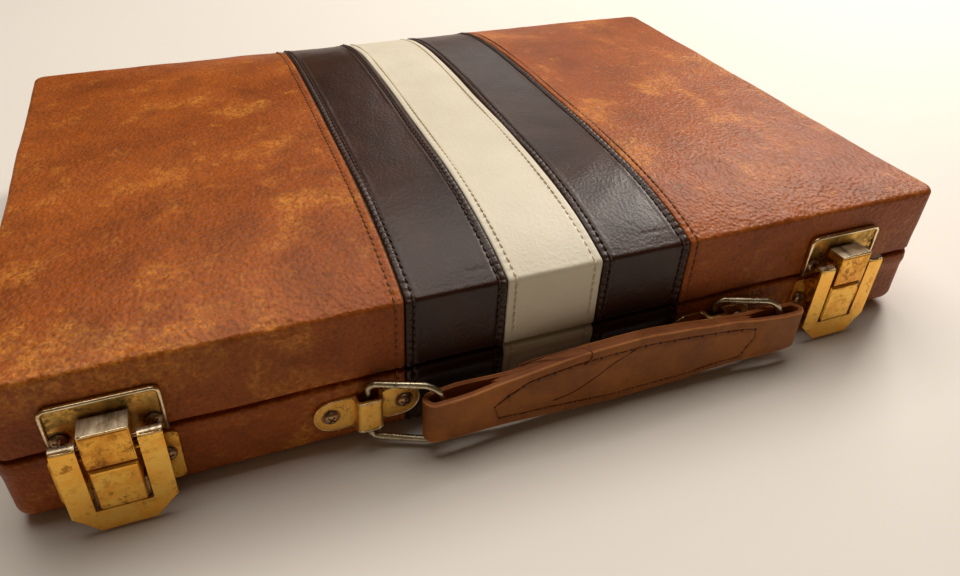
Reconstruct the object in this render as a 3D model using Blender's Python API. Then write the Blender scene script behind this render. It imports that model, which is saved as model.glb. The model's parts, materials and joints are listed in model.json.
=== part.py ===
"""Backgammon case: a leatherette-covered attache case with draw latches, a strap handle and a board inside.

Frame: metres, +Z up, +X to the right along the front, -Y out of the front. The origin is on the
surface that the case lies on, below the centre of its body.
"""

import math

import bmesh
import bpy
from mathutils import Matrix, Vector

MM = 0.001

# Case body
CASE_WIDTH = 381 * MM
CASE_DEPTH = 252 * MM
PARTING_HEIGHT = 31.75 * MM
PARTING_GAP = 0.4 * MM
LID_EDGE_HEIGHT = 63.4 * MM
LID_CROWN = 11.3 * MM
CROWN_POWER_X = 2
CROWN_POWER_Y = 4
GAP = 0.3 * MM

# Covering and wood
COVER_THICKNESS = 1.2 * MM
COVER_BOTTOM = 1.1 * MM
BOTTOM_SHEET_THICKNESS = 0.8 * MM
BOTTOM_SHEET_INSET = 9 * MM
HEM_WIDTH = 14 * MM
CORNER_RADIUS = 6 * MM
BASE_EDGE_RADIUS = 7 * MM
LID_EDGE_RADIUS = 3 * MM
LIP_EDGE_RADIUS = 1.2 * MM
RAIL_THICKNESS = 9 * MM
BASE_PANEL_THICKNESS = 6 * MM
LID_PANEL_THICKNESS = 4 * MM
LID_PANEL_DROP = 3.8 * MM

# Sewn band
BAND_CENTRE_X = 3.9 * MM
STRIP_WIDTH = 39 * MM

# Playing fields, trays and stored pieces
FIELD_THICKNESS = 3 * MM
DIVIDER_THICKNESS = 5 * MM
DIVIDER_SETBACK = 4.5 * MM
TRAY_WIDTH = 35.7 * MM
CHECKER_RADIUS = 15 * MM
CHECKER_THICKNESS = 8 * MM
CHECKER_COUNT = 15
CHECKER_EDGE = 1 * MM
STACK_END_X = 175 * MM
CUP_LENGTH = 74 * MM
CUP_RADIUS = 19 * MM
CUP_BASE_RADIUS = 17 * MM
CUP_WALL = 2 * MM
CUP_CENTRES_Y = (72 * MM, 24 * MM)

# Hinge
HINGE_LENGTH = 356 * MM
HINGE_AXIS_OFFSET = 1.9 * MM
HINGE_LEAF_THICKNESS = 1 * MM
HINGE_LEAF_WIDTH = 10.4 * MM
KNUCKLE_RADIUS = 1.6 * MM
KNUCKLE_COUNT = 11
KNUCKLE_GAP = 0.4 * MM
HINGE_BORE_RADIUS = 0.95 * MM
HINGE_PIN_RADIUS = 0.85 * MM

# Latches: X from the latch centre, heights from the parting plane, depths out of the front face
LATCH_CENTRES_X = {"left": -155.1 * MM, "right": 142.9 * MM}
PLATE_THICKNESS = 1 * MM
KEEPER_HALF_WIDTH = 18.2 * MM
KEEPER_BOTTOM = 0.5 * MM
KEEPER_TOP = 20 * MM
KEEPER_CORNER_RADIUS = 3 * MM
NOSE_HALF_WIDTH = 6 * MM
NOSE_DEPTH = 5 * MM
NOSE_HEIGHTS = (10.2 * MM, 12.2 * MM)
KEEPER_SCREW_OFFSET = (14.3 * MM, 6 * MM)
LATCH_BASE_HALF_WIDTH = 20 * MM
LATCH_BASE_HEIGHTS = (-24.5 * MM, -1.8 * MM)
LATCH_SCREW_OFFSET = (15.8 * MM, -11.5 * MM)
HOUSING_HALF_WIDTH = 7.6 * MM
HOUSING_HEIGHTS = (-20.6 * MM, -2.7 * MM)
HOUSING_DEPTH = 9.6 * MM
HOUSING_BEVEL = 0.8 * MM
EAR_X = (10.15 * MM, 10.95 * MM)
EAR_END_RADIUS = 1.45 * MM
PIVOT_DEPTH = 6.6 * MM
PIVOT_HEIGHT = 6.2 * MM
PIVOT_PIN_RADIUS = 0.85 * MM
PIVOT_BORE_RADIUS = 1.1 * MM
CLAW_THROW = 5 * MM
CLAW_HALF_WIDTH = 7.6 * MM
CLAW_HEIGHTS = (-1.2 * MM, 13.7 * MM)
CLAW_FRONT = 10 * MM
CLAW_THICKNESS = 0.9 * MM
CLAW_BACK = 2.2 * MM
CLAW_KNUCKLE_RADIUS = 1.7 * MM
CLAW_PIN_RADIUS = 0.85 * MM
CLAW_PIN_END_X = 9.7 * MM
LEVER_HALF_WIDTH = 16.75 * MM
LEVER_WINDOW_HALF_WIDTH = 9.1 * MM
LEVER_FRONT = 9.6 * MM
LEVER_THICKNESS = 0.8 * MM
LEVER_TOP = 8.7 * MM
LEVER_WINDOW_BOTTOM = -21.6 * MM
LEVER_SIDE_BOTTOM = -22.5 * MM
LEVER_TIP_BOTTOM = -30.3 * MM
LEVER_TIP_HALF_WIDTH = 9 * MM
LEVER_FLANGE_BACK = 4.6 * MM
LEVER_FLANGE_BOTTOM = -2.4 * MM

# Handle lugs, rings and strap
LUG_CENTRES_X = {"left": -69.7 * MM, "right": 80.5 * MM}
LUG_CENTRE_Z = 18 * MM
LUG_HALF_LENGTH = 20.2 * MM
LUG_HALF_HEIGHT = 7.4 * MM
LUG_BRIDGE_HALF_WIDTH = 5 * MM
LUG_BRIDGE_DEPTH = 5.6 * MM
LUG_SCREW_OFFSET = 13.8 * MM
RING_WIRE_RADIUS = 1.3 * MM
RING_HEIGHT = 26 * MM
RING_LENGTH = 27.4 * MM
RING_BAR_DEPTH = 2.4 * MM
RING_NEAR_RADIUS = 3 * MM
RING_FAR_RADIUS = 6 * MM
STRAP_DEPTH = 13 * MM
STRAP_THICKNESS = 2.2 * MM
STRAP_HALF_HOLLOW = 2.2 * MM
STRAP_ENDS_BEYOND_RINGS = (7.8 * MM, 10.5 * MM)
STRAP_BOTTOM_Z = 8.5 * MM
STRAP_END_TOP_Z = 27.5 * MM
STRAP_ARCH = 6 * MM
STRAP_BELLY = 5 * MM
STRAP_LOOP_STRAIGHT = 14 * MM
STRAP_LOOP_LENGTH = 27 * MM

# Screws
SCREW_HEAD_RADIUS = 2.9 * MM
SCREW_HEAD_HEIGHT = 1.6 * MM
SCREW_SHANK_RADIUS = 1.3 * MM
SCREW_HOLE_RADIUS = 1.65 * MM
SCREW_LENGTH = 8 * MM

FRONT_Y = -CASE_DEPTH / 2
HINGE_AXIS_Y = CASE_DEPTH / 2 + HINGE_AXIS_OFFSET
BASE_TOP = PARTING_HEIGHT - PARTING_GAP / 2
LID_BOTTOM = PARTING_HEIGHT + PARTING_GAP / 2
WOOD_INSET = COVER_THICKNESS + GAP
BASE_PANEL_BOTTOM = COVER_BOTTOM + WOOD_INSET
BASE_PANEL_TOP = BASE_PANEL_BOTTOM + BASE_PANEL_THICKNESS
BASE_RAIL_TOP = BASE_TOP - WOOD_INSET
LID_RAIL_BOTTOM = LID_BOTTOM + WOOD_INSET
LID_PANEL_TOP = LID_EDGE_HEIGHT - LID_PANEL_DROP
LID_PANEL_BOTTOM = LID_PANEL_TOP - LID_PANEL_THICKNESS
CAVITY_HALF_X = CASE_WIDTH / 2 - WOOD_INSET - RAIL_THICKNESS
CAVITY_HALF_Y = CASE_DEPTH / 2 - WOOD_INSET - RAIL_THICKNESS
BASE_FIELD_BOTTOM = BASE_PANEL_TOP + GAP
BASE_FIELD_TOP = BASE_FIELD_BOTTOM + FIELD_THICKNESS
LID_FIELD_TOP = LID_PANEL_BOTTOM - GAP
LID_FIELD_BOTTOM = LID_FIELD_TOP - FIELD_THICKNESS
DIVIDER_FRONT_Y = -CAVITY_HALF_Y + GAP + TRAY_WIDTH
FAR = 1.0


def clear_scene():
    for obj in list(bpy.data.objects):
        bpy.data.objects.remove(obj)


def material(name, colour, roughness, metallic=0.0):
    made = bpy.data.materials.new(name)
    made.use_nodes = True
    shader = made.node_tree.nodes["Principled BSDF"]
    shader.inputs["Base Color"].default_value = (*colour, 1)
    shader.inputs["Roughness"].default_value = roughness
    shader.inputs["Metallic"].default_value = metallic
    return made


def empty(name, place=(0, 0, 0), parent=None):
    made = bpy.data.objects.new(name, None)
    made.location = place
    made.parent = parent
    bpy.context.scene.collection.objects.link(made)
    return made


def finish_mesh(name, bm):
    bmesh.ops.recalc_face_normals(bm, faces=bm.faces)
    mesh = bpy.data.meshes.new(name)
    bm.to_mesh(mesh)
    bm.free()
    return mesh


def box_mesh(name, low, high):
    low, high = Vector(low), Vector(high)
    bm = bmesh.new()
    place = Matrix.Translation((low + high) / 2) @ Matrix.Diagonal((*(high - low), 1))
    bmesh.ops.create_cube(bm, size=1, matrix=place)
    return finish_mesh(name, bm)


def prism_mesh(name, outline, along, low, high):
    """An outline of (u, v) points pushed along one axis: Z takes (x, y), Y takes (x, z), X takes (y, z)."""
    places = {
        "Z": lambda u, v, w: (u, v, w),
        "Y": lambda u, v, w: (u, w, v),
        "X": lambda u, v, w: (w, u, v),
    }
    bm = bmesh.new()
    rings = [[bm.verts.new(places[along](u, v, w)) for u, v in outline] for w in (low, high)]
    bm.faces.new(rings[0])
    bm.faces.new(rings[1])
    for i in range(len(outline)):
        j = (i + 1) % len(outline)
        bm.faces.new((rings[0][i], rings[0][j], rings[1][j], rings[1][i]))
    return finish_mesh(name, bm)


def arc(centre, radius, start, end, steps):
    """Points on an arc, in degrees, ends included."""
    angles = [math.radians(start + (end - start) * i / steps) for i in range(steps + 1)]
    return [(centre[0] + radius * math.cos(a), centre[1] + radius * math.sin(a)) for a in angles]


def rounded_rectangle(low, high, radius, steps=4, side_steps=1):
    """A counter-clockwise outline with the same number of points whatever its size."""
    corners = (
        (high[0] - radius, low[1] + radius, -90),
        (high[0] - radius, high[1] - radius, 0),
        (low[0] + radius, high[1] - radius, 90),
        (low[0] + radius, low[1] + radius, 180),
    )
    arcs = [arc((x, y), radius, start, start + 90, steps) for x, y, start in corners]
    points = []
    for part, following in zip(arcs, arcs[1:] + arcs[:1]):
        (x, y), (next_x, next_y) = part[-1], following[0]
        shares = [i / side_steps for i in range(1, side_steps)]
        points += part + [(x + (next_x - x) * s, y + (next_y - y) * s) for s in shares]
    return points


def case_block_mesh(name, levels, side_steps=1, rise=lambda x, y: 0):
    """Rounded rectangles, one for each (inset, height) from the case's sides, skinned from first to last."""
    bm = bmesh.new()
    rings = []
    for inset, height in levels:
        x, y = CASE_WIDTH / 2 - inset, CASE_DEPTH / 2 - inset
        radius = max(CORNER_RADIUS - inset, 0.4 * MM)
        outline = rounded_rectangle((-x, -y), (x, y), radius, side_steps=side_steps)
        rings.append([bm.verts.new((u, v, height + rise(u, v))) for u, v in outline])
    bm.faces.new(rings[0])
    bm.faces.new(rings[-1])
    count = len(rings[0])
    for low, high in zip(rings, rings[1:]):
        for i in range(count):
            j = (i + 1) % count
            bm.faces.new((low[i], low[j], high[j], high[i]))
    bmesh.ops.triangulate(bm, faces=bm.faces)
    return finish_mesh(name, bm)


def lathe_mesh(name, profile, segments=12):
    """A closed (radius, height) profile turned about Z. Its ends on the axis become single points."""
    bm = bmesh.new()
    rings = []
    for radius, height in profile:
        if radius == 0:
            rings.append([bm.verts.new((0, 0, height))])
            continue
        turn = [2 * math.pi * i / segments for i in range(segments)]
        rings.append([bm.verts.new((radius * math.cos(a), radius * math.sin(a), height)) for a in turn])
    closed = profile[0][0] != 0
    pairs = list(zip(rings, rings[1:] + rings[:1]))
    for low, high in pairs if closed else pairs[:-1]:
        for i in range(segments):
            j = (i + 1) % segments
            corners = [low[i % len(low)], low[j % len(low)], high[j % len(high)], high[i % len(high)]]
            bm.faces.new(list(dict.fromkeys(corners)))
    return finish_mesh(name, bm)


def cylinder_mesh(name, axis, centre, radius, low, high, segments=12):
    """A cylinder between two values on one axis; centre gives its other two coordinates in X, Y, Z order."""
    mesh = lathe_mesh(name, [(0, low), (radius, low), (radius, high), (0, high)], segments)
    turns = {
        "Z": Matrix.Translation((centre[0], centre[1], 0)),
        "Y": Matrix.Translation((centre[0], 0, centre[1])) @ Matrix.Rotation(math.radians(-90), 4, "X"),
        "X": Matrix.Translation((0, centre[0], centre[1])) @ Matrix.Rotation(math.radians(90), 4, "Y"),
    }
    mesh.transform(turns[axis])
    return mesh


def joined_mesh(name, meshes):
    """Several meshes that don't meet, kept as one, for a cutter."""
    bm = bmesh.new()
    for mesh in meshes:
        bm.from_mesh(mesh)
    return finish_mesh(name, bm)


def helper(name, mesh):
    """A cutter or other operand, left out of the model."""
    made = bpy.data.objects.new(name, mesh)
    made.hide_render = True
    made.display_type = "WIRE"
    bpy.context.scene.collection.objects.link(made)
    return made


def boolean(obj, operation, other):
    modifier = obj.modifiers.new(f"{operation.lower()} {other.name}", "BOOLEAN")
    modifier.operation = operation
    modifier.solver = "EXACT"
    modifier.object = other


def place_at(obj, parent, joint_point=None):
    """Puts the object's origin on its joint point, or its mesh centre, with its world mesh unchanged."""
    centre = Vector(joint_point) if joint_point else sum((v.co for v in obj.data.vertices), Vector())
    if joint_point is None:
        centre /= len(obj.data.vertices)
    obj.data.transform(Matrix.Translation(-centre))
    offset = parent["world_origin"] if parent else (0, 0, 0)
    obj.location = centre - Vector(offset)
    obj.parent = parent


def solid(name, meshes, finish, parent, cuts=(), keeps=(), joint_point=None, smooth=False):
    """One named piece: its meshes united, kept inside each of keeps, then cut by each of cuts."""
    first, *rest = meshes
    obj = bpy.data.objects.new(name, first)
    bpy.context.scene.collection.objects.link(obj)
    obj.data.materials.append(finish)
    place_at(obj, parent, joint_point)
    for i, mesh in enumerate(rest):
        boolean(obj, "UNION", helper(f"{name}_part_{i + 2}", mesh))
    for other in keeps:
        boolean(obj, "INTERSECT", other)
    for other in cuts:
        boolean(obj, "DIFFERENCE", other)
    if smooth:
        obj.data.shade_smooth()
        obj.data.set_sharp_from_angle(angle=math.radians(35))
    return obj


def group(name, place, parent=None):
    made = empty(name, Vector(place) - Vector(parent["world_origin"] if parent else (0, 0, 0)), parent)
    made["world_origin"] = list(place)
    return made


def edge_levels(inset, start, radius, rising, steps=3):
    """Levels of a rounded edge: from the side wall in to the flat when rising, else from the flat out."""
    angles = [math.radians(90 * i / steps) for i in range(steps + 1)]
    rounded = [(inset + radius * (1 - math.cos(a)), radius * math.sin(a)) for a in angles]
    if rising:
        return [(i, start + h) for i, h in rounded]
    return [(i, start - h) for i, h in reversed(rounded)]


def crown_rise(x, y):
    """How far the padded top stands above the lid's edges."""
    across = abs(x) / (CASE_WIDTH / 2 - LID_EDGE_RADIUS)
    along = abs(y) / (CASE_DEPTH / 2 - LID_EDGE_RADIUS)
    return LID_CROWN * max(0, 1 - across**CROWN_POWER_X) * max(0, 1 - along**CROWN_POWER_Y)


def base_outer_mesh(name):
    levels = edge_levels(0, COVER_BOTTOM + BASE_EDGE_RADIUS, BASE_EDGE_RADIUS, False)
    levels += edge_levels(0, BASE_TOP - LIP_EDGE_RADIUS, LIP_EDGE_RADIUS, True, 2)
    return case_block_mesh(name, levels)


def base_wood_levels(grow=0.0, top=BASE_RAIL_TOP):
    radius = BASE_EDGE_RADIUS - WOOD_INSET
    bottom = BASE_PANEL_BOTTOM - grow
    levels = edge_levels(WOOD_INSET - grow, bottom + radius, radius, False)
    return levels + [(WOOD_INSET - grow, top + grow)]


def lid_mesh(name, inset, side_levels):
    """The lid's padded outer shape, or one inset from it, above the levels given for its sides."""
    radius = LID_EDGE_RADIUS - inset
    levels = side_levels + edge_levels(inset, LID_EDGE_HEIGHT - inset - radius, radius, True)
    crown_insets = (9, 18, 32, 52, 76, 102, 124)
    levels += [(i * MM, LID_EDGE_HEIGHT - inset) for i in crown_insets]
    return case_block_mesh(name, levels, 8, crown_rise)


def lid_outer_mesh(name):
    return lid_mesh(name, 0, edge_levels(0, LID_BOTTOM + LIP_EDGE_RADIUS, LIP_EDGE_RADIUS, False, 2))


def cavity_cutter(name):
    low = (-CAVITY_HALF_X, -CAVITY_HALF_Y, BASE_FIELD_TOP)
    return helper(name, box_mesh(name, low, (CAVITY_HALF_X, CAVITY_HALF_Y, LID_FIELD_BOTTOM)))


def hem_cutter():
    x, y = CASE_WIDTH / 2 - HEM_WIDTH, CASE_DEPTH / 2 - HEM_WIDTH
    return helper("hem_opening", box_mesh("hem_opening", (-x, -y, -FAR), (x, y, BASE_PANEL_BOTTOM + MM)))


def hinge_slot_cutter():
    """Room for both leaves between the back rails."""
    half = HINGE_LENGTH / 2 + GAP
    low = (-half, CASE_DEPTH / 2 - HINGE_LEAF_WIDTH - 2 * GAP, BASE_RAIL_TOP)
    return helper("hinge_slot", box_mesh("hinge_slot", low, (half, FAR, LID_RAIL_BOTTOM)))


def screw_places():
    """Every screw: (name, X, height, depth of the face it is driven into, body)."""
    places = []
    for side, x in LATCH_CENTRES_X.items():
        for letter, sign in (("a", -1), ("b", 1)):
            dx, dz = KEEPER_SCREW_OFFSET
            places.append((f"keeper_screw_{side}_{letter}", x + sign * dx, PARTING_HEIGHT + dz, "lid"))
            dx, dz = LATCH_SCREW_OFFSET
            places.append((f"latch_screw_{side}_{letter}", x + sign * dx, PARTING_HEIGHT + dz, "base"))
    for side, x in LUG_CENTRES_X.items():
        for letter, sign in (("a", -1), ("b", 1)):
            places.append((f"lug_screw_{side}_{letter}", x + sign * LUG_SCREW_OFFSET, LUG_CENTRE_Z, "base"))
    return places


def screw_hole_cutter(body):
    low, high = FRONT_Y - 2 * PLATE_THICKNESS, FRONT_Y + WOOD_INSET + SCREW_LENGTH
    holes = [
        cylinder_mesh(name, "Y", (x, z), SCREW_HOLE_RADIUS, low, high, 8)
        for name, x, z, owner in screw_places()
        if owner == body
    ]
    return helper(f"{body}_screw_holes", joined_mesh(f"{body}_screw_holes", holes))


def make_rails(half, low, high, finish, parent, front_cuts):
    """Four rails of one half: front and back run the full width, with rounded outer corners."""
    outer_x, outer_y = CASE_WIDTH / 2 - WOOD_INSET, CASE_DEPTH / 2 - WOOD_INSET
    radius = CORNER_RADIUS - WOOD_INSET
    long_outline = [(-outer_x, -CAVITY_HALF_Y)]
    long_outline += arc((-outer_x + radius, -outer_y + radius), radius, 180, 270, 4)
    long_outline += arc((outer_x - radius, -outer_y + radius), radius, 270, 360, 4)
    long_outline += [(outer_x, -CAVITY_HALF_Y)]
    front = prism_mesh(f"{half}_front_rail", long_outline, "Z", low, high)
    back = prism_mesh(f"{half}_back_rail", [(-x, -y) for x, y in long_outline], "Z", low, high)
    solid(f"{half}_front_rail", [front], finish, parent, cuts=front_cuts)
    solid(f"{half}_back_rail", [back], finish, parent)
    y = CAVITY_HALF_Y - GAP
    for side, sign in (("left", -1), ("right", 1)):
        inner, outer = sorted((sign * CAVITY_HALF_X, sign * outer_x))
        mesh = box_mesh(f"{half}_{side}_rail", (inner, -y, low), (outer, y, high))
        solid(f"{half}_{side}_rail", [mesh], finish, parent)


def make_panels(wood, foam, base, lid):
    """The boards that close both halves, and the padding on the lid's."""
    mesh = case_block_mesh("base_bottom_panel", base_wood_levels(top=BASE_PANEL_TOP))
    solid("base_bottom_panel", [mesh], wood, base)
    levels = [(WOOD_INSET, LID_PANEL_BOTTOM), (WOOD_INSET, LID_PANEL_TOP)]
    solid("lid_top_panel", [case_block_mesh("lid_top_panel", levels)], wood, lid)
    mesh = lid_mesh("lid_padding", WOOD_INSET, [(WOOD_INSET, LID_PANEL_TOP + GAP)])
    solid("lid_padding", [mesh], foam, lid)


def cover_slabs():
    """The five sewn pieces, each (name, X range)."""
    seams = [BAND_CENTRE_X + STRIP_WIDTH * n for n in (-1.5, -0.5, 0.5, 1.5)]
    names = ("cover_left", "strip_dark_left", "strip_cream", "strip_dark_right", "cover_right")
    lows = [-FAR] + [x + GAP / 2 for x in seams]
    highs = [x - GAP / 2 for x in seams] + [FAR]
    return list(zip(names, lows, highs))


def make_covers(half, outer, backing, finishes, parent, cuts, side_cuts=()):
    """The covering of one half: the outer shape less what backs it, sliced at the seams."""
    backing = helper(f"{half}_backing", backing)
    for name, low, high in cover_slabs():
        slab = helper(f"{half}_{name}_slab", box_mesh("slab", (low, -FAR, -FAR), (high, FAR, FAR)))
        strip = name.startswith("strip")
        finish = finishes[name.split("_")[1] if strip else "brown"]
        own_cuts = [backing, *cuts] if strip else [backing, *cuts, *side_cuts]
        solid(f"{half}_{name}", [outer(f"{half}_{name}")], finish, parent, keeps=[slab], cuts=own_cuts)


def make_bottom_sheet(finish, parent):
    x, y = CASE_WIDTH / 2 - BOTTOM_SHEET_INSET, CASE_DEPTH / 2 - BOTTOM_SHEET_INSET
    outline = rounded_rectangle((-x, -y), (x, y), CORNER_RADIUS)
    mesh = prism_mesh("base_bottom_sheet", outline, "Z", 0, BOTTOM_SHEET_THICKNESS)
    solid("base_bottom_sheet", [mesh], finish, parent)


def make_boards(field, wood, base, lid):
    """Each half's playing field, and the divider that makes its checker tray."""
    x, y = CAVITY_HALF_X - GAP, CAVITY_HALF_Y - GAP
    ranges = {
        "base": (base, BASE_FIELD_BOTTOM, BASE_FIELD_TOP, BASE_FIELD_TOP + GAP, BASE_TOP - DIVIDER_SETBACK),
        "lid": (lid, LID_FIELD_BOTTOM, LID_FIELD_TOP, LID_BOTTOM + DIVIDER_SETBACK, LID_FIELD_BOTTOM - GAP),
    }
    for half, (parent, low, high, divider_low, divider_high) in ranges.items():
        mesh = box_mesh(f"{half}_playing_field", (-x, -y, low), (x, y, high))
        solid(f"{half}_playing_field", [mesh], field, parent)
        near, far = DIVIDER_FRONT_Y, DIVIDER_FRONT_Y + DIVIDER_THICKNESS
        mesh = box_mesh(f"{half}_tray_divider", (-x, near, divider_low), (x, far, divider_high))
        solid(f"{half}_tray_divider", [mesh], wood, parent)


def make_hinge(finish, base, lid):
    """Two leaves with alternating knuckles round one pin."""
    back = CASE_DEPTH / 2
    pitch = HINGE_LENGTH / KNUCKLE_COUNT
    leaf_low = {"base": BASE_RAIL_TOP + GAP, "lid": LID_RAIL_BOTTOM - GAP - HINGE_LEAF_THICKNESS}
    bore = cylinder_mesh("hinge_bore", "X", (HINGE_AXIS_Y, PARTING_HEIGHT), HINGE_BORE_RADIUS, -FAR, FAR, 10)
    bore = helper("hinge_bore", bore)
    for half, parent, first in (("base", base, 0), ("lid", lid, 1)):
        low = leaf_low[half]
        high = low + HINGE_LEAF_THICKNESS
        x = HINGE_LENGTH / 2
        meshes = [box_mesh("leaf", (-x, back - HINGE_LEAF_WIDTH, low), (x, back - 0.1 * MM, high))]
        for i in range(first, KNUCKLE_COUNT, 2):
            start = -x + i * pitch + KNUCKLE_GAP / 2
            end = -x + (i + 1) * pitch - KNUCKLE_GAP / 2
            axis = (HINGE_AXIS_Y, PARTING_HEIGHT)
            meshes.append(cylinder_mesh("knuckle", "X", axis, KNUCKLE_RADIUS, start, end, 12))
            meshes.append(box_mesh("web", (start, back - MM, low), (end, HINGE_AXIS_Y, high)))
        solid(f"hinge_leaf_{half}", meshes, finish, parent, cuts=[bore])
    x = HINGE_LENGTH / 2 - GAP
    pin = cylinder_mesh("hinge_pin", "X", (HINGE_AXIS_Y, PARTING_HEIGHT), HINGE_PIN_RADIUS, -x, x, 10)
    solid("hinge_pin", [pin], finish, base, smooth=True)


def latch_point(x, depth, height):
    """A point on a latch: depth out of the front face, height above the parting plane."""
    return Vector((x, FRONT_Y - depth, PARTING_HEIGHT + height))


def latch_box(name, x_range, depths, heights):
    low = latch_point(x_range[0], depths[1], heights[0])
    high = latch_point(x_range[1], depths[0], heights[1])
    return box_mesh(name, low, high)


def make_keeper(side, x, finish, parent, holes):
    half, bottom, top = KEEPER_HALF_WIDTH, PARTING_HEIGHT + KEEPER_BOTTOM, PARTING_HEIGHT + KEEPER_TOP
    radius = KEEPER_CORNER_RADIUS
    outline = [(x - half, bottom), (x + half, bottom)]
    outline += arc((x + half - radius, top - radius), radius, 0, 90, 4)
    outline += arc((x - half + radius, top - radius), radius, 90, 180, 4)
    back = FRONT_Y - GAP
    plate = prism_mesh("plate", outline, "Y", back - PLATE_THICKNESS, back)
    wide = (x - NOSE_HALF_WIDTH, x + NOSE_HALF_WIDTH)
    nose = latch_box("nose", wide, (GAP + PLATE_THICKNESS / 2, NOSE_DEPTH), NOSE_HEIGHTS)
    solid(f"latch_keeper_{side}", [plate, nose], finish, parent, cuts=[holes])


def ear_outline():
    """One ear of the base plate, in (Y, Z): a gusset up to a round end about the pivot."""
    steps = (((PLATE_THICKNESS, -14), (PLATE_THICKNESS, -2.2), (2.6 * MM, -1)), ((6.2 * MM, -7), (3 * MM, -14)))
    before, after = [[(depth, height * MM) for depth, height in part] for part in steps]
    end = arc((PIVOT_DEPTH, PIVOT_HEIGHT), EAR_END_RADIUS, 165, -20, 7)
    return [(FRONT_Y - depth, PARTING_HEIGHT + height) for depth, height in before + end + after]


def make_latch_base(side, x, finish, parent, holes):
    low, high = LATCH_BASE_HEIGHTS
    half = LATCH_BASE_HALF_WIDTH
    corners = rounded_rectangle((x - half, PARTING_HEIGHT + low), (x + half, PARTING_HEIGHT + high), 2 * MM, 3)
    back = FRONT_Y - GAP
    plate = prism_mesh("plate", corners, "Y", back - PLATE_THICKNESS, back)
    wide = (x - HOUSING_HALF_WIDTH, x + HOUSING_HALF_WIDTH)
    housing = latch_box("housing", wide, (GAP + PLATE_THICKNESS / 2, HOUSING_DEPTH), HOUSING_HEIGHTS)
    bm = bmesh.new()
    bm.from_mesh(housing)
    front = [e for e in bm.edges if all(v.co.y < FRONT_Y - HOUSING_DEPTH / 2 for v in e.verts)]
    bmesh.ops.bevel(bm, geom=front, offset=HOUSING_BEVEL, segments=2, profile=0.5, affect="EDGES")
    housing = finish_mesh("housing", bm)
    ears = [
        prism_mesh("ear", ear_outline(), "X", *sorted((x + sign * EAR_X[0], x + sign * EAR_X[1])))
        for sign in (-1, 1)
    ]
    bore = helper(f"ear_bore_{side}", pivot_cylinder("bore", x, PIVOT_BORE_RADIUS, EAR_X[1] + MM))
    solid(f"latch_base_plate_{side}", [plate, housing, *ears], finish, parent, cuts=[holes, bore])
    pin = pivot_cylinder("pin", x, PIVOT_PIN_RADIUS, EAR_X[1] + GAP)
    solid(f"latch_pivot_pin_{side}", [pin], finish, parent, smooth=True)


def pivot_cylinder(name, x, radius, half_length, drop=0.0):
    centre = latch_point(x, PIVOT_DEPTH, PIVOT_HEIGHT - drop)
    return cylinder_mesh(name, "X", (centre.y, centre.z), radius, x - half_length, x + half_length, 10)


def lever_side_outline():
    """The lever seen from its side, in (Y, Z): a bent sheet whose top turns back over the pivot."""
    front, back = LEVER_FRONT, LEVER_FRONT - LEVER_THICKNESS
    radius = 2 * MM
    top = LEVER_TOP
    outside = arc((front - radius, top - radius), radius, 0, 90, 4)
    inside = arc((front - radius, top - radius), radius - LEVER_THICKNESS, 90, 0, 4)
    turned = [(PIVOT_DEPTH, top), (PIVOT_DEPTH, top - LEVER_THICKNESS)]
    lip = [(back + 0.8 * MM, LEVER_TIP_BOTTOM), (front + 0.8 * MM, LEVER_TIP_BOTTOM)]
    points = [(front, LEVER_TIP_BOTTOM + 5 * MM), *outside, *turned, *inside, (back, LEVER_TIP_BOTTOM + 5 * MM)]
    return [(FRONT_Y - depth, PARTING_HEIGHT + height) for depth, height in points + lip]


def lever_front_outline(x):
    """The lever seen from the front, in (X, Z): a frame open at its top, with a tapered lower lip."""
    half, window, tip = LEVER_HALF_WIDTH, LEVER_WINDOW_HALF_WIDTH, LEVER_TIP_HALF_WIDTH
    top, sill = LEVER_TOP + MM, LEVER_WINDOW_BOTTOM
    right = [(tip, LEVER_TIP_BOTTOM), (half, LEVER_SIDE_BOTTOM), (half, top), (window, top), (window, sill)]
    points = right + [(-u, v) for u, v in reversed(right)]
    return [(x + u, PARTING_HEIGHT + v) for u, v in points]


def make_lever(side, x, finish, parent, pivot):
    half = LEVER_HALF_WIDTH
    sheet = prism_mesh("sheet", lever_side_outline(), "X", x - half, x + half)
    front_shape = prism_mesh("front_shape", lever_front_outline(x), "Y", FRONT_Y - 2 * LEVER_FRONT, FRONT_Y)
    front_shape = helper(f"lever_shape_{side}", front_shape)
    flanges = []
    for sign in (-1, 1):
        inner = x + sign * LEVER_WINDOW_HALF_WIDTH
        wide = sorted((inner, inner + sign * 0.75 * MM))
        depths = (LEVER_FLANGE_BACK, LEVER_FRONT - LEVER_THICKNESS / 2)
        flanges.append(latch_box("flange", wide, depths, (LEVER_FLANGE_BOTTOM, LEVER_TOP - 0.4 * MM)))
    bores = [
        pivot_cylinder("bore", x, PIVOT_BORE_RADIUS, LEVER_HALF_WIDTH, drop) for drop in (0, CLAW_THROW)
    ]
    bores = helper(f"lever_bores_{side}", joined_mesh("bores", bores))
    obj = solid(f"latch_lever_{side}", [sheet], finish, parent, keeps=[front_shape], joint_point=pivot)
    for i, mesh in enumerate(flanges):
        boolean(obj, "UNION", helper(f"lever_flange_{side}_{i + 1}", mesh))
    boolean(obj, "DIFFERENCE", bores)


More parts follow.
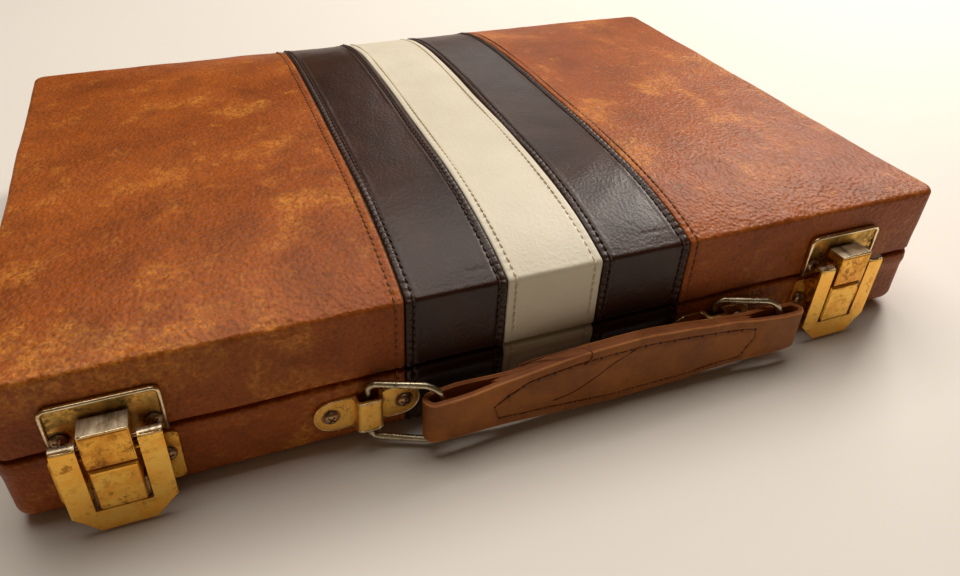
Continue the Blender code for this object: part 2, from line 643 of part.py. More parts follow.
def make_claw(side, x, finish, parent, pin_point):
    half = CLAW_HALF_WIDTH
    low, high = CLAW_HEIGHTS
    inside = CLAW_FRONT - CLAW_THICKNESS
    front = latch_box("front", (x - half, x + half), (inside, CLAW_FRONT), (low, high))
    top = latch_box("top", (x - half, x + half), (CLAW_BACK, CLAW_FRONT), (high - CLAW_THICKNESS, high))
    cheeks = []
    for sign in (-1, 1):
        wide = sorted((x + sign * (half - 0.7 * MM), x + sign * half))
        cheeks.append(latch_box("cheek", wide, (8 * MM, CLAW_FRONT), (low + 0.4 * MM, high)))
        cheeks.append(latch_box("top_cheek", wide, (CLAW_BACK, CLAW_FRONT), (high - 4.2 * MM, high)))
    knuckle = pivot_cylinder("knuckle", x, CLAW_KNUCKLE_RADIUS, half - MM, CLAW_THROW)
    pin = pivot_cylinder("pin", x, CLAW_PIN_RADIUS, CLAW_PIN_END_X, CLAW_THROW)
    heights = (PIVOT_HEIGHT - CLAW_THROW - 1.2 * MM, PIVOT_HEIGHT - CLAW_THROW + 0.6 * MM)
    web = latch_box("web", (x - half + MM, x + half - MM), (PIVOT_DEPTH, inside + 0.4 * MM), heights)
    meshes = [front, top, *cheeks, web, knuckle, pin]
    solid(f"latch_claw_{side}", meshes, finish, parent, joint_point=pin_point)


def lug_path(x):
    """The lug seen from above, in (X, Y): a strip bent into a bridge over the ring's bar."""
    half, bridge, depth, sheet = LUG_HALF_LENGTH, LUG_BRIDGE_HALF_WIDTH, LUG_BRIDGE_DEPTH, PLATE_THICKNESS
    front = [(half, sheet), (bridge, sheet)]
    front += [(u, v) for u, v in arc((bridge - 2 * MM, depth - 2 * MM), 2 * MM, 0, 90, 3)]
    inner = bridge - sheet
    back = [(half, 0), (inner, 0), (inner, depth - sheet - MM), (inner - MM, depth - sheet)]
    right = front[::-1] + back
    points = right + [(-u, v) for u, v in reversed(right)]
    return [(x + u, FRONT_Y - GAP - v) for u, v in points]


def make_lug(side, x, finish, parent, holes):
    height = LUG_HALF_HEIGHT
    strip = prism_mesh("strip", lug_path(x), "Z", LUG_CENTRE_Z - height, LUG_CENTRE_Z + height)
    low = (x - LUG_HALF_LENGTH, LUG_CENTRE_Z - height)
    high = (x + LUG_HALF_LENGTH, LUG_CENTRE_Z + height)
    outline = rounded_rectangle(low, high, height - 0.2 * MM, 5)
    shape = helper(f"lug_shape_{side}", prism_mesh("shape", outline, "Y", FRONT_Y - 0.1, FRONT_Y + 0.1))
    solid(f"handle_lug_{side}", [strip], finish, parent, keeps=[shape], cuts=[holes])


def ring_angle():
    """How far the rings stand out from the front face at rest."""
    return math.asin((STRAP_DEPTH - RING_BAR_DEPTH) / RING_LENGTH)


def ring_bar(x):
    return Vector((x, FRONT_Y - RING_BAR_DEPTH, LUG_CENTRE_Z))


def ring_tip(x):
    angle = ring_angle()
    return ring_bar(x) + RING_LENGTH * Vector((math.cos(angle), -math.sin(angle), 0))


def make_ring(side, x, finish, parent):
    """A closed wire: a straight bar in the lug, and a rounded far side in the strap."""
    half, near, far = RING_HEIGHT / 2, RING_NEAR_RADIUS, RING_FAR_RADIUS
    outline = arc((near, -half + near), near, 180, 270, 3)
    outline += arc((RING_LENGTH - far, -half + far), far, 270, 360, 4)
    outline += arc((RING_LENGTH - far, half - far), far, 0, 90, 4)
    outline += arc((near, half - near), near, 90, 180, 3)
    curve = bpy.data.curves.new(f"handle_ring_{side}", "CURVE")
    curve.dimensions = "3D"
    curve.bevel_depth = RING_WIRE_RADIUS
    curve.bevel_resolution = 2
    spline = curve.splines.new("POLY")
    spline.points.add(len(outline) - 1)
    for point, (along, up) in zip(spline.points, outline):
        point.co = (along, 0, up, 1)
    spline.use_cyclic_u = True
    curve.materials.append(finish)
    obj = bpy.data.objects.new(f"handle_ring_{side}", curve)
    bpy.context.scene.collection.objects.link(obj)
    obj.parent = parent
    obj.rotation_euler = (0, 0, -ring_angle())


def stadium(low_x, high_x, half_y, centre_y, steps=6):
    """A counter-clockwise outline with round ends."""
    points = arc((high_x - half_y, centre_y), half_y, -90, 90, steps)
    return points + arc((low_x + half_y, centre_y), half_y, 90, 270, steps)


def strap_side_outline(low_x, high_x):
    """The strap seen from the front, in (X, Z): narrow at its ends, and swelling above and below in the middle."""
    steps = 16
    middle, half = (low_x + high_x) / 2, (high_x - low_x) / 2
    top, bottom = [], []
    for i in range(steps + 1):
        share = 1 - 2 * i / steps
        swell = (1 + math.cos(math.pi * share)) / 2
        top.append((middle + half * share, STRAP_END_TOP_Z + STRAP_ARCH * swell))
        bottom.append((middle - half * share, STRAP_BOTTOM_Z - STRAP_BELLY * swell))
    return bottom + top


def strap_loop_outline(end_x, inward, centre_y):
    """The hollow that a ring passes through, seen from above: round at its end, closing to a point inwards."""
    radius = STRAP_HALF_HOLLOW
    centre = (STRAP_THICKNESS + radius, 0)
    points = arc(centre, radius, 270, 90, 8) + [(STRAP_LOOP_STRAIGHT, radius)]
    points += [(STRAP_LOOP_LENGTH, 0), (STRAP_LOOP_STRAIGHT, -radius)]
    return [(end_x + inward * u, centre_y + v) for u, v in points]


def make_handle(leather, parent, hinge_point):
    """A strap folded round both rings and sewn to itself between them."""
    low = ring_tip(LUG_CENTRES_X["left"]).x - STRAP_ENDS_BEYOND_RINGS[0]
    high = ring_tip(LUG_CENTRES_X["right"]).x + STRAP_ENDS_BEYOND_RINGS[1]
    y = FRONT_Y - STRAP_DEPTH
    half = STRAP_HALF_HOLLOW + STRAP_THICKNESS
    strap = prism_mesh("strap", stadium(low, high, half, y), "Z", 0, 2 * LUG_CENTRE_Z)
    outlines = [strap_loop_outline(low, 1, y), strap_loop_outline(high, -1, y)]
    loops = [prism_mesh("strap_loop", outline, "Z", -FAR, FAR) for outline in outlines]
    loops = helper("strap_loops", joined_mesh("strap_loops", loops))
    outline = strap_side_outline(low, high)
    side = helper("strap_side", prism_mesh("strap_side", outline, "Y", y - 2 * half, y + 2 * half))
    solid("handle_strap", [strap], leather, parent, keeps=[side], cuts=[loops], joint_point=hinge_point)


def make_screws(finish, bodies):
    """Round-headed screws, each through its plate and cover into the front rail."""
    head, tip = SCREW_HEAD_RADIUS, SCREW_LENGTH
    seat = -(PLATE_THICKNESS + 2 * GAP)
    profile = [
        (0, tip),
        (SCREW_SHANK_RADIUS, tip - 2 * MM),
        (SCREW_SHANK_RADIUS, seat),
        (head, seat),
        (head * 0.92, seat - SCREW_HEAD_HEIGHT * 0.55),
        (head * 0.55, seat - SCREW_HEAD_HEIGHT * 0.92),
        (0, seat - SCREW_HEAD_HEIGHT),
    ]
    for name, x, z, owner in screw_places():
        mesh = lathe_mesh(name, profile, 10)
        mesh.transform(Matrix.Translation((x, FRONT_Y, z)) @ Matrix.Rotation(math.radians(-90), 4, "X"))
        solid(name, [mesh], finish, bodies[owner], smooth=True)


def make_checkers(light, dark, parent):
    """Two stacks stored on edge in the tray, each turned as one solid with a groove between checkers."""
    profile = [(0, 0)]
    for i in range(CHECKER_COUNT):
        low, high = i * CHECKER_THICKNESS, (i + 1) * CHECKER_THICKNESS
        groove = CHECKER_RADIUS - CHECKER_EDGE
        profile += [(groove, low), (CHECKER_RADIUS, low + CHECKER_EDGE), (CHECKER_RADIUS, high - CHECKER_EDGE)]
    length = CHECKER_COUNT * CHECKER_THICKNESS
    profile += [(CHECKER_RADIUS - CHECKER_EDGE, length), (0, length)]
    y = (-CAVITY_HALF_Y + GAP + DIVIDER_FRONT_Y) / 2
    z = BASE_FIELD_TOP + GAP + CHECKER_RADIUS
    for name, finish, start in (
        ("checker_stack_light", light, -STACK_END_X),
        ("checker_stack_dark", dark, STACK_END_X - length),
    ):
        mesh = lathe_mesh(name, profile, 14)
        mesh.transform(Matrix.Translation((start, y, z)) @ Matrix.Rotation(math.radians(90), 4, "Y"))
        solid(name, [mesh], finish, parent, smooth=True)


def make_cups(finish, parent):
    """Two dice cups lying on the base's field, their mouths facing opposite ways."""
    wall = CUP_WALL
    profile = [
        (0, 0),
        (CUP_BASE_RADIUS - MM, 0),
        (CUP_BASE_RADIUS, MM),
        (CUP_RADIUS, CUP_LENGTH - MM),
        (CUP_RADIUS - MM, CUP_LENGTH),
        (CUP_RADIUS - wall, CUP_LENGTH - MM / 2),
        (CUP_BASE_RADIUS - wall, 3 * MM),
        (0, 3 * MM),
    ]
    z = BASE_FIELD_TOP + GAP + CUP_RADIUS
    for name, y, turn in zip(("dice_cup_a", "dice_cup_b"), CUP_CENTRES_Y, (90, -90)):
        mesh = lathe_mesh(name, profile, 18)
        start = -math.copysign(CUP_LENGTH / 2, turn)
        mesh.transform(Matrix.Translation((start, y, z)) @ Matrix.Rotation(math.radians(turn), 4, "Y"))
        solid(name, [mesh], finish, parent, smooth=True)


def make_latches(brass, base, lid, base_holes, lid_holes):
    for side, x in LATCH_CENTRES_X.items():
        pivot = latch_point(x, PIVOT_DEPTH, PIVOT_HEIGHT)
        pin_point = latch_point(x, PIVOT_DEPTH, PIVOT_HEIGHT - CLAW_THROW)
        make_keeper(side, x, brass, lid, lid_holes)
        make_latch_base(side, x, brass, base, base_holes)
        lever = group(f"lever_{side}_joint", pivot, base)
        make_lever(side, x, brass, lever, pivot)
        claw = group(f"claw_{side}_joint", pin_point, lever)
        make_claw(side, x, brass, claw, pin_point)


def make_carrying_gear(metal, ring_metal, leather, base, holes):
    rings = {}
    for side, x in LUG_CENTRES_X.items():
        make_lug(side, x, metal, base, holes)
        rings[side] = group(f"ring_{side}_joint", ring_bar(x), base)
        make_ring(side, x, ring_metal, rings[side])
    hinge_point = ring_tip(LUG_CENTRES_X["left"])
    make_handle(leather, group("handle_joint", hinge_point, rings["left"]), hinge_point)


def main():
    clear_scene()
    wood = material("wood", (0.50, 0.36, 0.22), 0.7)
    brown = material("brown_leatherette", (0.30, 0.10, 0.035), 0.45)
    dark = material("dark_leatherette", (0.025, 0.014, 0.012), 0.3)
    cream = material("cream_leatherette", (0.60, 0.55, 0.42), 0.5)
    field = material("field", (0.16, 0.07, 0.035), 0.9)
    brass = material("brass", (0.75, 0.52, 0.18), 0.3, 1.0)
    nickel = material("ring_metal", (0.55, 0.47, 0.32), 0.3, 1.0)
    screw = material("screw_metal", (0.22, 0.16, 0.10), 0.45, 1.0)
    leather = material("handle_leather", (0.22, 0.08, 0.03), 0.5)
    foam = material("foam", (0.62, 0.58, 0.50), 0.95)
    light_checker = material("light_checker", (0.72, 0.66, 0.52), 0.25)
    dark_checker = material("dark_checker", (0.10, 0.03, 0.02), 0.25)

    base = group("base", (0, 0, 0))
    lid = group("lid_joint", (0, HINGE_AXIS_Y, PARTING_HEIGHT), base)
    base_holes, lid_holes = screw_hole_cutter("base"), screw_hole_cutter("lid")
    cavity, slot = cavity_cutter("cavity"), hinge_slot_cutter()
    finishes = {"brown": brown, "dark": dark, "cream": cream}

    make_panels(wood, foam, base, lid)
    make_rails("base", BASE_PANEL_TOP + GAP, BASE_RAIL_TOP, wood, base, [base_holes])
    make_rails("lid", LID_RAIL_BOTTOM, LID_PANEL_BOTTOM - GAP, wood, lid, [lid_holes])
    backing = case_block_mesh("base_backing", base_wood_levels(GAP))
    cuts = [cavity, slot, base_holes]
    make_covers("base", base_outer_mesh, backing, finishes, base, cuts, [hem_cutter()])
    backing = lid_mesh("lid_backing", COVER_THICKNESS, [(COVER_THICKNESS, LID_RAIL_BOTTOM - GAP)])
    make_covers("lid", lid_outer_mesh, backing, finishes, lid, [cavity, slot, lid_holes])
    make_bottom_sheet(brown, base)
    make_boards(field, wood, base, lid)
    make_hinge(brass, base, lid)
    make_latches(brass, base, lid, base_holes, lid_holes)
    make_carrying_gear(brass, nickel, leather, base, base_holes)
    make_screws(screw, {"base": base, "lid": lid})
    make_checkers(light_checker, dark_checker, base)
    make_cups(leather, base)


main()
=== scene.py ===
"""The looks of the backgammon case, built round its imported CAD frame.

Lengths in the making code are in millimetres.
"""

import itertools  # noqa: E402
import json  # noqa: E402
import math  # noqa: E402

import bmesh  # noqa: E402
import bpy  # noqa: E402
import numpy as np  # noqa: E402
from mathutils import Matrix, Vector  # noqa: E402


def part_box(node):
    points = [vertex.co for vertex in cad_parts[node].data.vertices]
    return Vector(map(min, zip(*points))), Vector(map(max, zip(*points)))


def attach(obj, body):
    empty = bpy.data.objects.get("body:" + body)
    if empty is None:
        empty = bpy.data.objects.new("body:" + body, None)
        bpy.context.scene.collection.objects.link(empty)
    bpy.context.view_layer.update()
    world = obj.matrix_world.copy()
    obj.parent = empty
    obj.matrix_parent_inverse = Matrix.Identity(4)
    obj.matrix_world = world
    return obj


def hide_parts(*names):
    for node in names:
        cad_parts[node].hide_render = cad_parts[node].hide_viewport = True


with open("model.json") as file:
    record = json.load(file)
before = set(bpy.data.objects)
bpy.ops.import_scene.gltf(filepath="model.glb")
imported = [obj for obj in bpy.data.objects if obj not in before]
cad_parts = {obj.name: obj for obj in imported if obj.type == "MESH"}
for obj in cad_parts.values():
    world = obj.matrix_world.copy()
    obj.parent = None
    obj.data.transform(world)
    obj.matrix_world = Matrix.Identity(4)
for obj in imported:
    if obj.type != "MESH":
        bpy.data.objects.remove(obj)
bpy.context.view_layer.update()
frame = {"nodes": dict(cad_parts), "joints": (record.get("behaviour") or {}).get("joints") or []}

MM = 0.001
SIDES = ("left", "right")
HALVES = ("base", "lid")


def box_mm(node):
    """A CAD node's lowest and highest corners, in millimetres."""
    low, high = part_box(node)
    return np.array(low) / MM, np.array(high) / MM


# The case's own sizes, from the frame.
CASE_X, CASE_Y, BASE_TOP = box_mm("base_cover_right")[1]
BASE_UNDER = box_mm("base_cover_right")[0][2]
LID_UNDER = box_mm("lid_cover_right")[0][2]
LID_PEAK = box_mm("lid_strip_cream")[1][2]
CAVITY_INSET = CASE_X - box_mm("base_right_rail")[0][0]
LEVER_TOP = box_mm("latch_lever_left")[1][2]
CLAW_TOP = box_mm("latch_claw_left")[1][2]
PIECES = ("cover_left", "strip_dark_left", "strip_cream", "strip_dark_right", "cover_right")
SEAMS = [
    (box_mm(f"lid_{a}")[1][0] + box_mm(f"lid_{b}")[0][0]) / 2 for a, b in zip(PIECES, PIECES[1:])
]

# The covering's rounded edges, its lips at the parting line, and its sewing.
LID_EDGE = 63.4
LID_RADIUS = 2.2
CORNER = 6.0
BASE_RADIUS = 7.0
LIP_RADIUS = 0.9
BASE_LIP_RADIUS = 1.2
PARTING_LEDGE = 0.85
PARTING_RISE = 0.5
LEDGE_INSET = 4.4
HEM = 14.0
SEAM_GAP = 0.15
SKIN = 1.0
STITCH_PITCH = 3.3
STITCH_INSET = 3.2
STITCH_LENGTH = 2.75
STITCH_RADIUS = 0.40
PUFF = {"brown": 0.55, "dark": 1.25, "cream": 0.25}
CORNER_CELLS = 4
ROW_STEP = 0.8
FINE_STEP = 0.36


# ---------------------------------------------------------------- materials


class Graph:
    """A small builder for a procedural material."""

    def __init__(self, name, **fixed):
        self.material = bpy.data.materials.new(name)
        self.material.use_nodes = True
        self.tree = self.material.node_tree
        self.tree.nodes.clear()
        self.shader = self.add("ShaderNodeBsdfPrincipled")
        output = self.add("ShaderNodeOutputMaterial")
        self.join(self.shader.outputs[0], output.inputs[0])
        self.place = self.add("ShaderNodeTexCoord").outputs["Object"]
        for key, value in fixed.items():
            self.put(self.shader.inputs[key.replace("_", " ")], value)

    def add(self, kind, **settings):
        node = self.tree.nodes.new(kind)
        for key, value in settings.items():
            setattr(node, key, value)
        return node

    def join(self, source, target):
        self.tree.links.new(source, target)

    def put(self, socket, value):
        if isinstance(value, bpy.types.NodeSocket):
            self.join(value, socket)
        elif isinstance(value, tuple):
            socket.default_value = (*value, 1.0) if len(socket.default_value) == 4 else value
        else:
            socket.default_value = value

    def stretch(self, scale, turn=(0, 0, 0)):
        node = self.add("ShaderNodeMapping")
        self.join(self.place, node.inputs["Vector"])
        node.inputs["Scale"].default_value = scale
        node.inputs["Rotation"].default_value = turn
        return node.outputs[0]

    def noise(self, scale, detail=4.0, roughness=0.55, distortion=0.0, at=None):
        node = self.add("ShaderNodeTexNoise")
        self.join(at or self.place, node.inputs["Vector"])
        settings = {"Scale": scale, "Detail": detail, "Roughness": roughness, "Distortion": distortion}
        for name, value in settings.items():
            node.inputs[name].default_value = value
        return node.outputs["Fac"]

    def cells(self, scale, feature="F1", at=None):
        node = self.add("ShaderNodeTexVoronoi", feature=feature)
        self.join(at or self.place, node.inputs["Vector"])
        node.inputs["Scale"].default_value = scale
        return node.outputs["Distance"]

    def ramp(self, value, *stops):
        node = self.add("ShaderNodeValToRGB")
        self.join(value, node.inputs[0])
        ramp = node.color_ramp
        while len(ramp.elements) < len(stops):
            ramp.elements.new(0.5)
        for element, (position, colour) in zip(ramp.elements, stops):
            element.position = position
            element.color = (*(colour if isinstance(colour, tuple) else (colour,) * 3), 1.0)
        return node.outputs[0]

    def mix(self, factor, a, b, blend="MIX"):
        node = self.add("ShaderNodeMix", data_type="RGBA", blend_type=blend)
        self.put(node.inputs["Factor"], factor)
        self.put(node.inputs[6], a)
        self.put(node.inputs[7], b)
        return node.outputs[2]

    def calc(self, operation, a, b=0.0):
        node = self.add("ShaderNodeMath", operation=operation)
        self.put(node.inputs[0], a)
        self.put(node.inputs[1], b)
        return node.outputs[0]

    def times(self, a, b):
        return self.calc("MULTIPLY", a, b)

    def scaled(self, value, low, high):
        node = self.add("ShaderNodeMapRange")
        self.join(value, node.inputs["Value"])
        node.inputs["To Min"].default_value = low
        node.inputs["To Max"].default_value = high
        return node.outputs[0]

    def relief(self, *layers):
        """Bump layers, each (height, depth in millimetres, strength)."""
        normal = None
        for height, depth, strength in layers:
            node = self.add("ShaderNodeBump")
            self.join(height, node.inputs["Height"])
            node.inputs["Distance"].default_value = depth * MM
            node.inputs["Strength"].default_value = strength
            if normal:
                self.join(normal, node.inputs["Normal"])
            normal = node.outputs[0]
        self.join(normal, self.shader.inputs["Normal"])
        self.join(normal, self.shader.inputs["Coat Normal"])

    def finish(self, colour, roughness, *layers):
        self.put(self.shader.inputs["Base Color"], colour)
        self.put(self.shader.inputs["Roughness"], roughness)
        if layers:
            self.relief(*layers)
        return self.material


def leather_grain(g, cell=650, fine=2400, depth=1.0):
    """Fine pebbled grain with pores, drawn-out wrinkles, and slow undulation of the backing."""
    pebbles = g.cells(cell, "SMOOTH_F1")
    wrinkles = g.noise(cell * 0.55, 5, 0.65, 0.4, g.stretch((1.0, 0.45, 1.0), (0, 0, 0.5)))
    pores = g.noise(fine, 3, 0.7)
    slack = g.noise(34, 3, 0.5, 0.4)
    return (
        (slack, 0.7 * max(depth, 0.35), 0.3),
        (wrinkles, 0.55 * depth, 0.6),
        (pebbles, 0.45 * depth, 0.7),
        (pores, 0.12, 0.5),
    )


def grain_glints_and_shade(g, colour):
    """Painted glints on the grain's crests and painted shade in its creases, multiplied into the colour."""
    grain = g.noise(760, 4, 0.7, 0.3, g.stretch((1.0, 0.6, 1.0), (0, 0, 0.5)))
    return g.mix(1.0, colour, g.ramp(grain, (0.36, 0.78), (0.62, 1.18)), "MULTIPLY")


def brown_leatherette():
    g = Graph("brown_leatherette_skin", Specular_IOR_Level=0.15, Coat_Weight=0.09, Coat_Roughness=0.26)
    ground = g.ramp(g.noise(13, 5, 0.6, 0.2), (0.35, (0.305, 0.066, 0.0060)), (0.65, (0.415, 0.103, 0.0130)))
    grains = g.ramp(g.noise(430, 5, 0.72, 0.2), (0.42, 0.0), (0.58, 1.0))
    broad, ragged = g.noise(25, 7, 0.6, 0.2), g.noise(120, 6, 0.7, 0.3)
    clouds = g.ramp(g.calc("ADD", g.times(broad, 0.75), g.times(ragged, 0.25)), (0.525, 0.0), (0.60, 1.0))
    spots = g.ramp(g.noise(85, 6, 0.62, 0.2), (0.58, 0.0), (0.66, 1.0))
    gilt = g.times(g.calc("MAXIMUM", clouds, g.times(spots, 0.6)), g.scaled(grains, 0.10, 0.76))
    colour = g.mix(gilt, ground, (0.69, 0.255, 0.036))
    shade = g.ramp(g.noise(48, 8, 0.62, 0.2), (0.34, 0.74), (0.55, 1.0))
    colour = g.mix(1.0, colour, shade, "MULTIPLY")
    roughness = g.scaled(g.noise(60, 6, 0.6), 0.36, 0.52)
    # The colour carries painted glints and painted shade from the grain.
    return g.finish(grain_glints_and_shade(g, colour), roughness, *leather_grain(g, depth=1.35))


def dark_leatherette():
    g = Graph("dark_leatherette_skin", Specular_IOR_Level=0.2, Coat_Weight=0.17, Coat_Roughness=0.24)
    browns = (0.35, (0.024, 0.0070, 0.0028)), (0.68, (0.048, 0.0155, 0.0070))
    colour = g.ramp(g.noise(30, 6, 0.6, 0.3), *browns)
    scratch = g.noise(90, 6, 0.75, 0.2, g.stretch((1.0, 14.0, 1.0), (0, 0, 0.6)))
    scuffs = g.ramp(scratch, (0.64, 0.0), (0.72, 1.0))
    colour = g.mix(g.times(scuffs, 0.4), colour, (0.12, 0.070, 0.050))
    roughness = g.scaled(g.noise(75, 8, 0.65), 0.26, 0.42)
    return g.finish(colour, roughness, *leather_grain(g, 800, 2600, 0.32))


def cream_leatherette():
    g = Graph("cream_leatherette_skin", Coat_Weight=0.08, Coat_Roughness=0.35)
    ground = g.ramp(g.noise(20, 6, 0.6, 0.4), (0.30, (0.67, 0.595, 0.445)), (0.70, (0.77, 0.70, 0.545)))
    soil = g.ramp(g.noise(160, 9, 0.75, 0.8), (0.58, 0.0), (0.74, 1.0))
    colour = g.mix(g.times(soil, 0.18), ground, (0.42, 0.33, 0.21))
    roughness = g.scaled(g.noise(80, 6, 0.6), 0.38, 0.52)
    return g.finish(colour, roughness, *leather_grain(g, 800, 2300, 0.28))


def thread(name, light, dark):
    g = Graph(name, Specular_IOR_Level=0.25)
    twist = g.add("ShaderNodeTexWave", wave_type="BANDS", bands_direction="DIAGONAL")
    g.join(g.place, twist.inputs["Vector"])
    twist.inputs["Scale"].default_value = 900
    twist.inputs["Distortion"].default_value = 1.5
    colour = g.mix(g.noise(300, 5, 0.6), dark, light)
    return g.finish(colour, g.scaled(g.noise(500, 4), 0.5, 0.75), (twist.outputs["Fac"], 0.08, 0.6))


def patinated_brass(name, bright, mid, tarnish, worn=0.5, roughness=(0.22, 0.5), shelf=None):
    """Lacquered brass gone blotchy, with haze, tarnish and scratches, and bare above the shelf."""
    g = Graph(name, Metallic=1.0)
    haze = g.ramp(g.noise(110, 8, 0.72, 0.25), (0.40, 0.0), (0.60, 1.0))
    colour = g.mix(haze, mid, bright)
    blotch = g.ramp(g.noise(270, 8, 0.76, 0.25), (worn, 0.0), (worn + 0.07, 1.0))
    patches = g.ramp(g.noise(75, 5, 0.6, 0.2), (0.42, 0.25), (0.60, 1.0))
    colour = g.mix(g.times(g.times(blotch, patches), 0.85), colour, tarnish)
    specks = g.ramp(g.noise(1100, 5, 0.7), (0.60, 0.0), (0.68, 1.0))
    colour = g.mix(g.times(specks, 0.5), colour, tarnish)
    lines = g.noise(420, 3, 0.6, 0.1, g.stretch((1.0, 1.0, 0.06), (0, 0.35, 0)))
    scratches = g.ramp(lines, (0.60, 0.0), (0.66, 1.0))
    colour = g.mix(g.times(scratches, 0.35), colour, bright)
    if shelf:
        split = g.add("ShaderNodeSeparateXYZ")
        g.join(g.place, split.inputs[0])
        above = g.calc("GREATER_THAN", split.outputs["Z"], shelf * MM)
        brushed = g.noise(260, 6, 0.7, 0.2, g.stretch((1.0, 0.15, 0.15)))
        greys = (0.32, (0.17, 0.13, 0.085)), (0.50, (0.58, 0.47, 0.33)), (0.66, (0.88, 0.78, 0.60))
        colour = g.mix(above, colour, g.ramp(brushed, *greys))
    rough = g.calc("ADD", g.scaled(g.noise(170, 7, 0.7, 0.3), *roughness), g.times(blotch, 0.2))
    dents = g.noise(300, 6, 0.65)
    return g.finish(colour, rough, (dents, 0.14, 0.4), (lines, 0.04, 0.3), (blotch, 0.03, 0.4))


def saddle_leather(name, light, dark, edge=False):
    g = Graph(name, Specular_IOR_Level=0.16, Coat_Weight=0.10, Coat_Roughness=0.24)
    colour = g.ramp(g.noise(58, 7, 0.66, 0.4), (0.28, dark), (0.68, light))
    stain = g.ramp(g.noise(190, 8, 0.7, 1.0), (0.52, 0.0), (0.72, 1.0))
    colour = g.mix(g.times(stain, 0.45), colour, tuple(0.45 * c for c in dark))
    fibre = g.noise(260, 6, 0.7, 0.3, g.stretch((0.25, 1.0, 1.0) if edge else (0.6, 1.0, 1.6)))
    roughness = g.scaled(g.noise(120, 6, 0.6), 0.34, 0.58)
    pebbles = g.cells(900, "SMOOTH_F1")
    return g.finish(colour, roughness, (fibre, 0.3, 0.6), (pebbles, 0.05, 0.4), (g.noise(2200, 3), 0.04, 0.4))


def felt(name, light, dark):
    g = Graph(name, Sheen_Weight=0.25, Sheen_Roughness=0.5)
    colour = g.mix(g.noise(900, 8, 0.8), dark, light)
    fibre = g.noise(1500, 8, 0.85, 2.0)
    return g.finish(colour, g.scaled(fibre, 0.8, 1.0), (fibre, 0.25, 0.7), (g.noise(90, 4), 0.3, 0.2))


def varnished_wood(name):
    g = Graph(name, Coat_Weight=0.4, Coat_Roughness=0.15)
    stretched = g.stretch((0.12, 1.0, 1.0))
    rings = g.noise(160, 6, 0.6, 1.6, stretched)
    pores = g.noise(900, 5, 0.7, 0.2, g.stretch((0.05, 1.0, 1.0)))
    browns = (0.32, (0.055, 0.020, 0.009)), (0.52, (0.13, 0.052, 0.022)), (0.70, (0.20, 0.088, 0.038))
    flecks = g.times(g.ramp(pores, (0.55, 0.0), (0.65, 1.0)), 0.5)
    colour = g.mix(flecks, g.ramp(rings, *browns), (0.03, 0.012, 0.006))
    return g.finish(colour, g.scaled(g.noise(60), 0.28, 0.45), (pores, 0.08, 0.5), (rings, 0.1, 0.2))


def marbled(name, light, dark):
    g = Graph(name, Coat_Weight=0.5, Coat_Roughness=0.08, Subsurface_Weight=0.05)
    swirl = g.noise(70, 6, 0.6, 3.0)
    colour = g.ramp(swirl, (0.30, dark), (0.52, light), (0.75, dark))
    return g.finish(colour, g.scaled(g.noise(200, 4), 0.16, 0.3), (g.noise(500, 4), 0.03, 0.3))


def foam_material():
    g = Graph("padding_foam")
    colour = g.mix(g.noise(150, 6), (0.60, 0.52, 0.36), (0.74, 0.67, 0.50))
    cells = g.cells(900)
    return g.finish(colour, g.scaled(cells, 0.85, 1.0), (cells, 0.5, 0.8))


def brasses():
    """Each brass part's own state: its metal, haze and tarnish, how worn and rough, and its shelf."""
    rows = {
        "brass": ("speckled_brass", (1.0, 0.58, 0.13), (0.80, 0.40, 0.07), (0.16, 0.08, 0.022), 0.54),
        "keeper": ("olive_brass", (0.88, 0.50, 0.11), (0.44, 0.275, 0.075), (0.075, 0.055, 0.026), 0.49),
        "lever": (
            "lever_brass", (1.0, 0.61, 0.12), (0.98, 0.47, 0.07), (0.46, 0.19, 0.030), 0.55,
            (0.22, 0.44), LEVER_TOP - 0.4,
        ),
        "claw": (
            "claw_brass", (1.0, 0.54, 0.09), (0.72, 0.30, 0.040), (0.26, 0.085, 0.016), 0.51,
            (0.28, 0.5), CLAW_TOP - 0.6,
        ),
        "block": (
            "block_brass", (1.0, 0.60, 0.11), (0.90, 0.42, 0.060), (0.30, 0.11, 0.020), 0.52, (0.24, 0.45),
        ),
        "rim": ("rim_nickel", (0.95, 0.80, 0.52), (0.70, 0.50, 0.24), (0.25, 0.14, 0.05), 0.58, (0.16, 0.34)),
        "ring": ("ring_nickel", (0.70, 0.62, 0.44), (0.46, 0.38, 0.24), (0.14, 0.10, 0.06), 0.55, (0.18, 0.38)),
        "screw": (
            "screw_bronze", (0.50, 0.31, 0.17), (0.28, 0.165, 0.09), (0.07, 0.04, 0.024), 0.52, (0.22, 0.45),
        ),
    }
    return {key: patinated_brass(*row) for key, row in rows.items()}


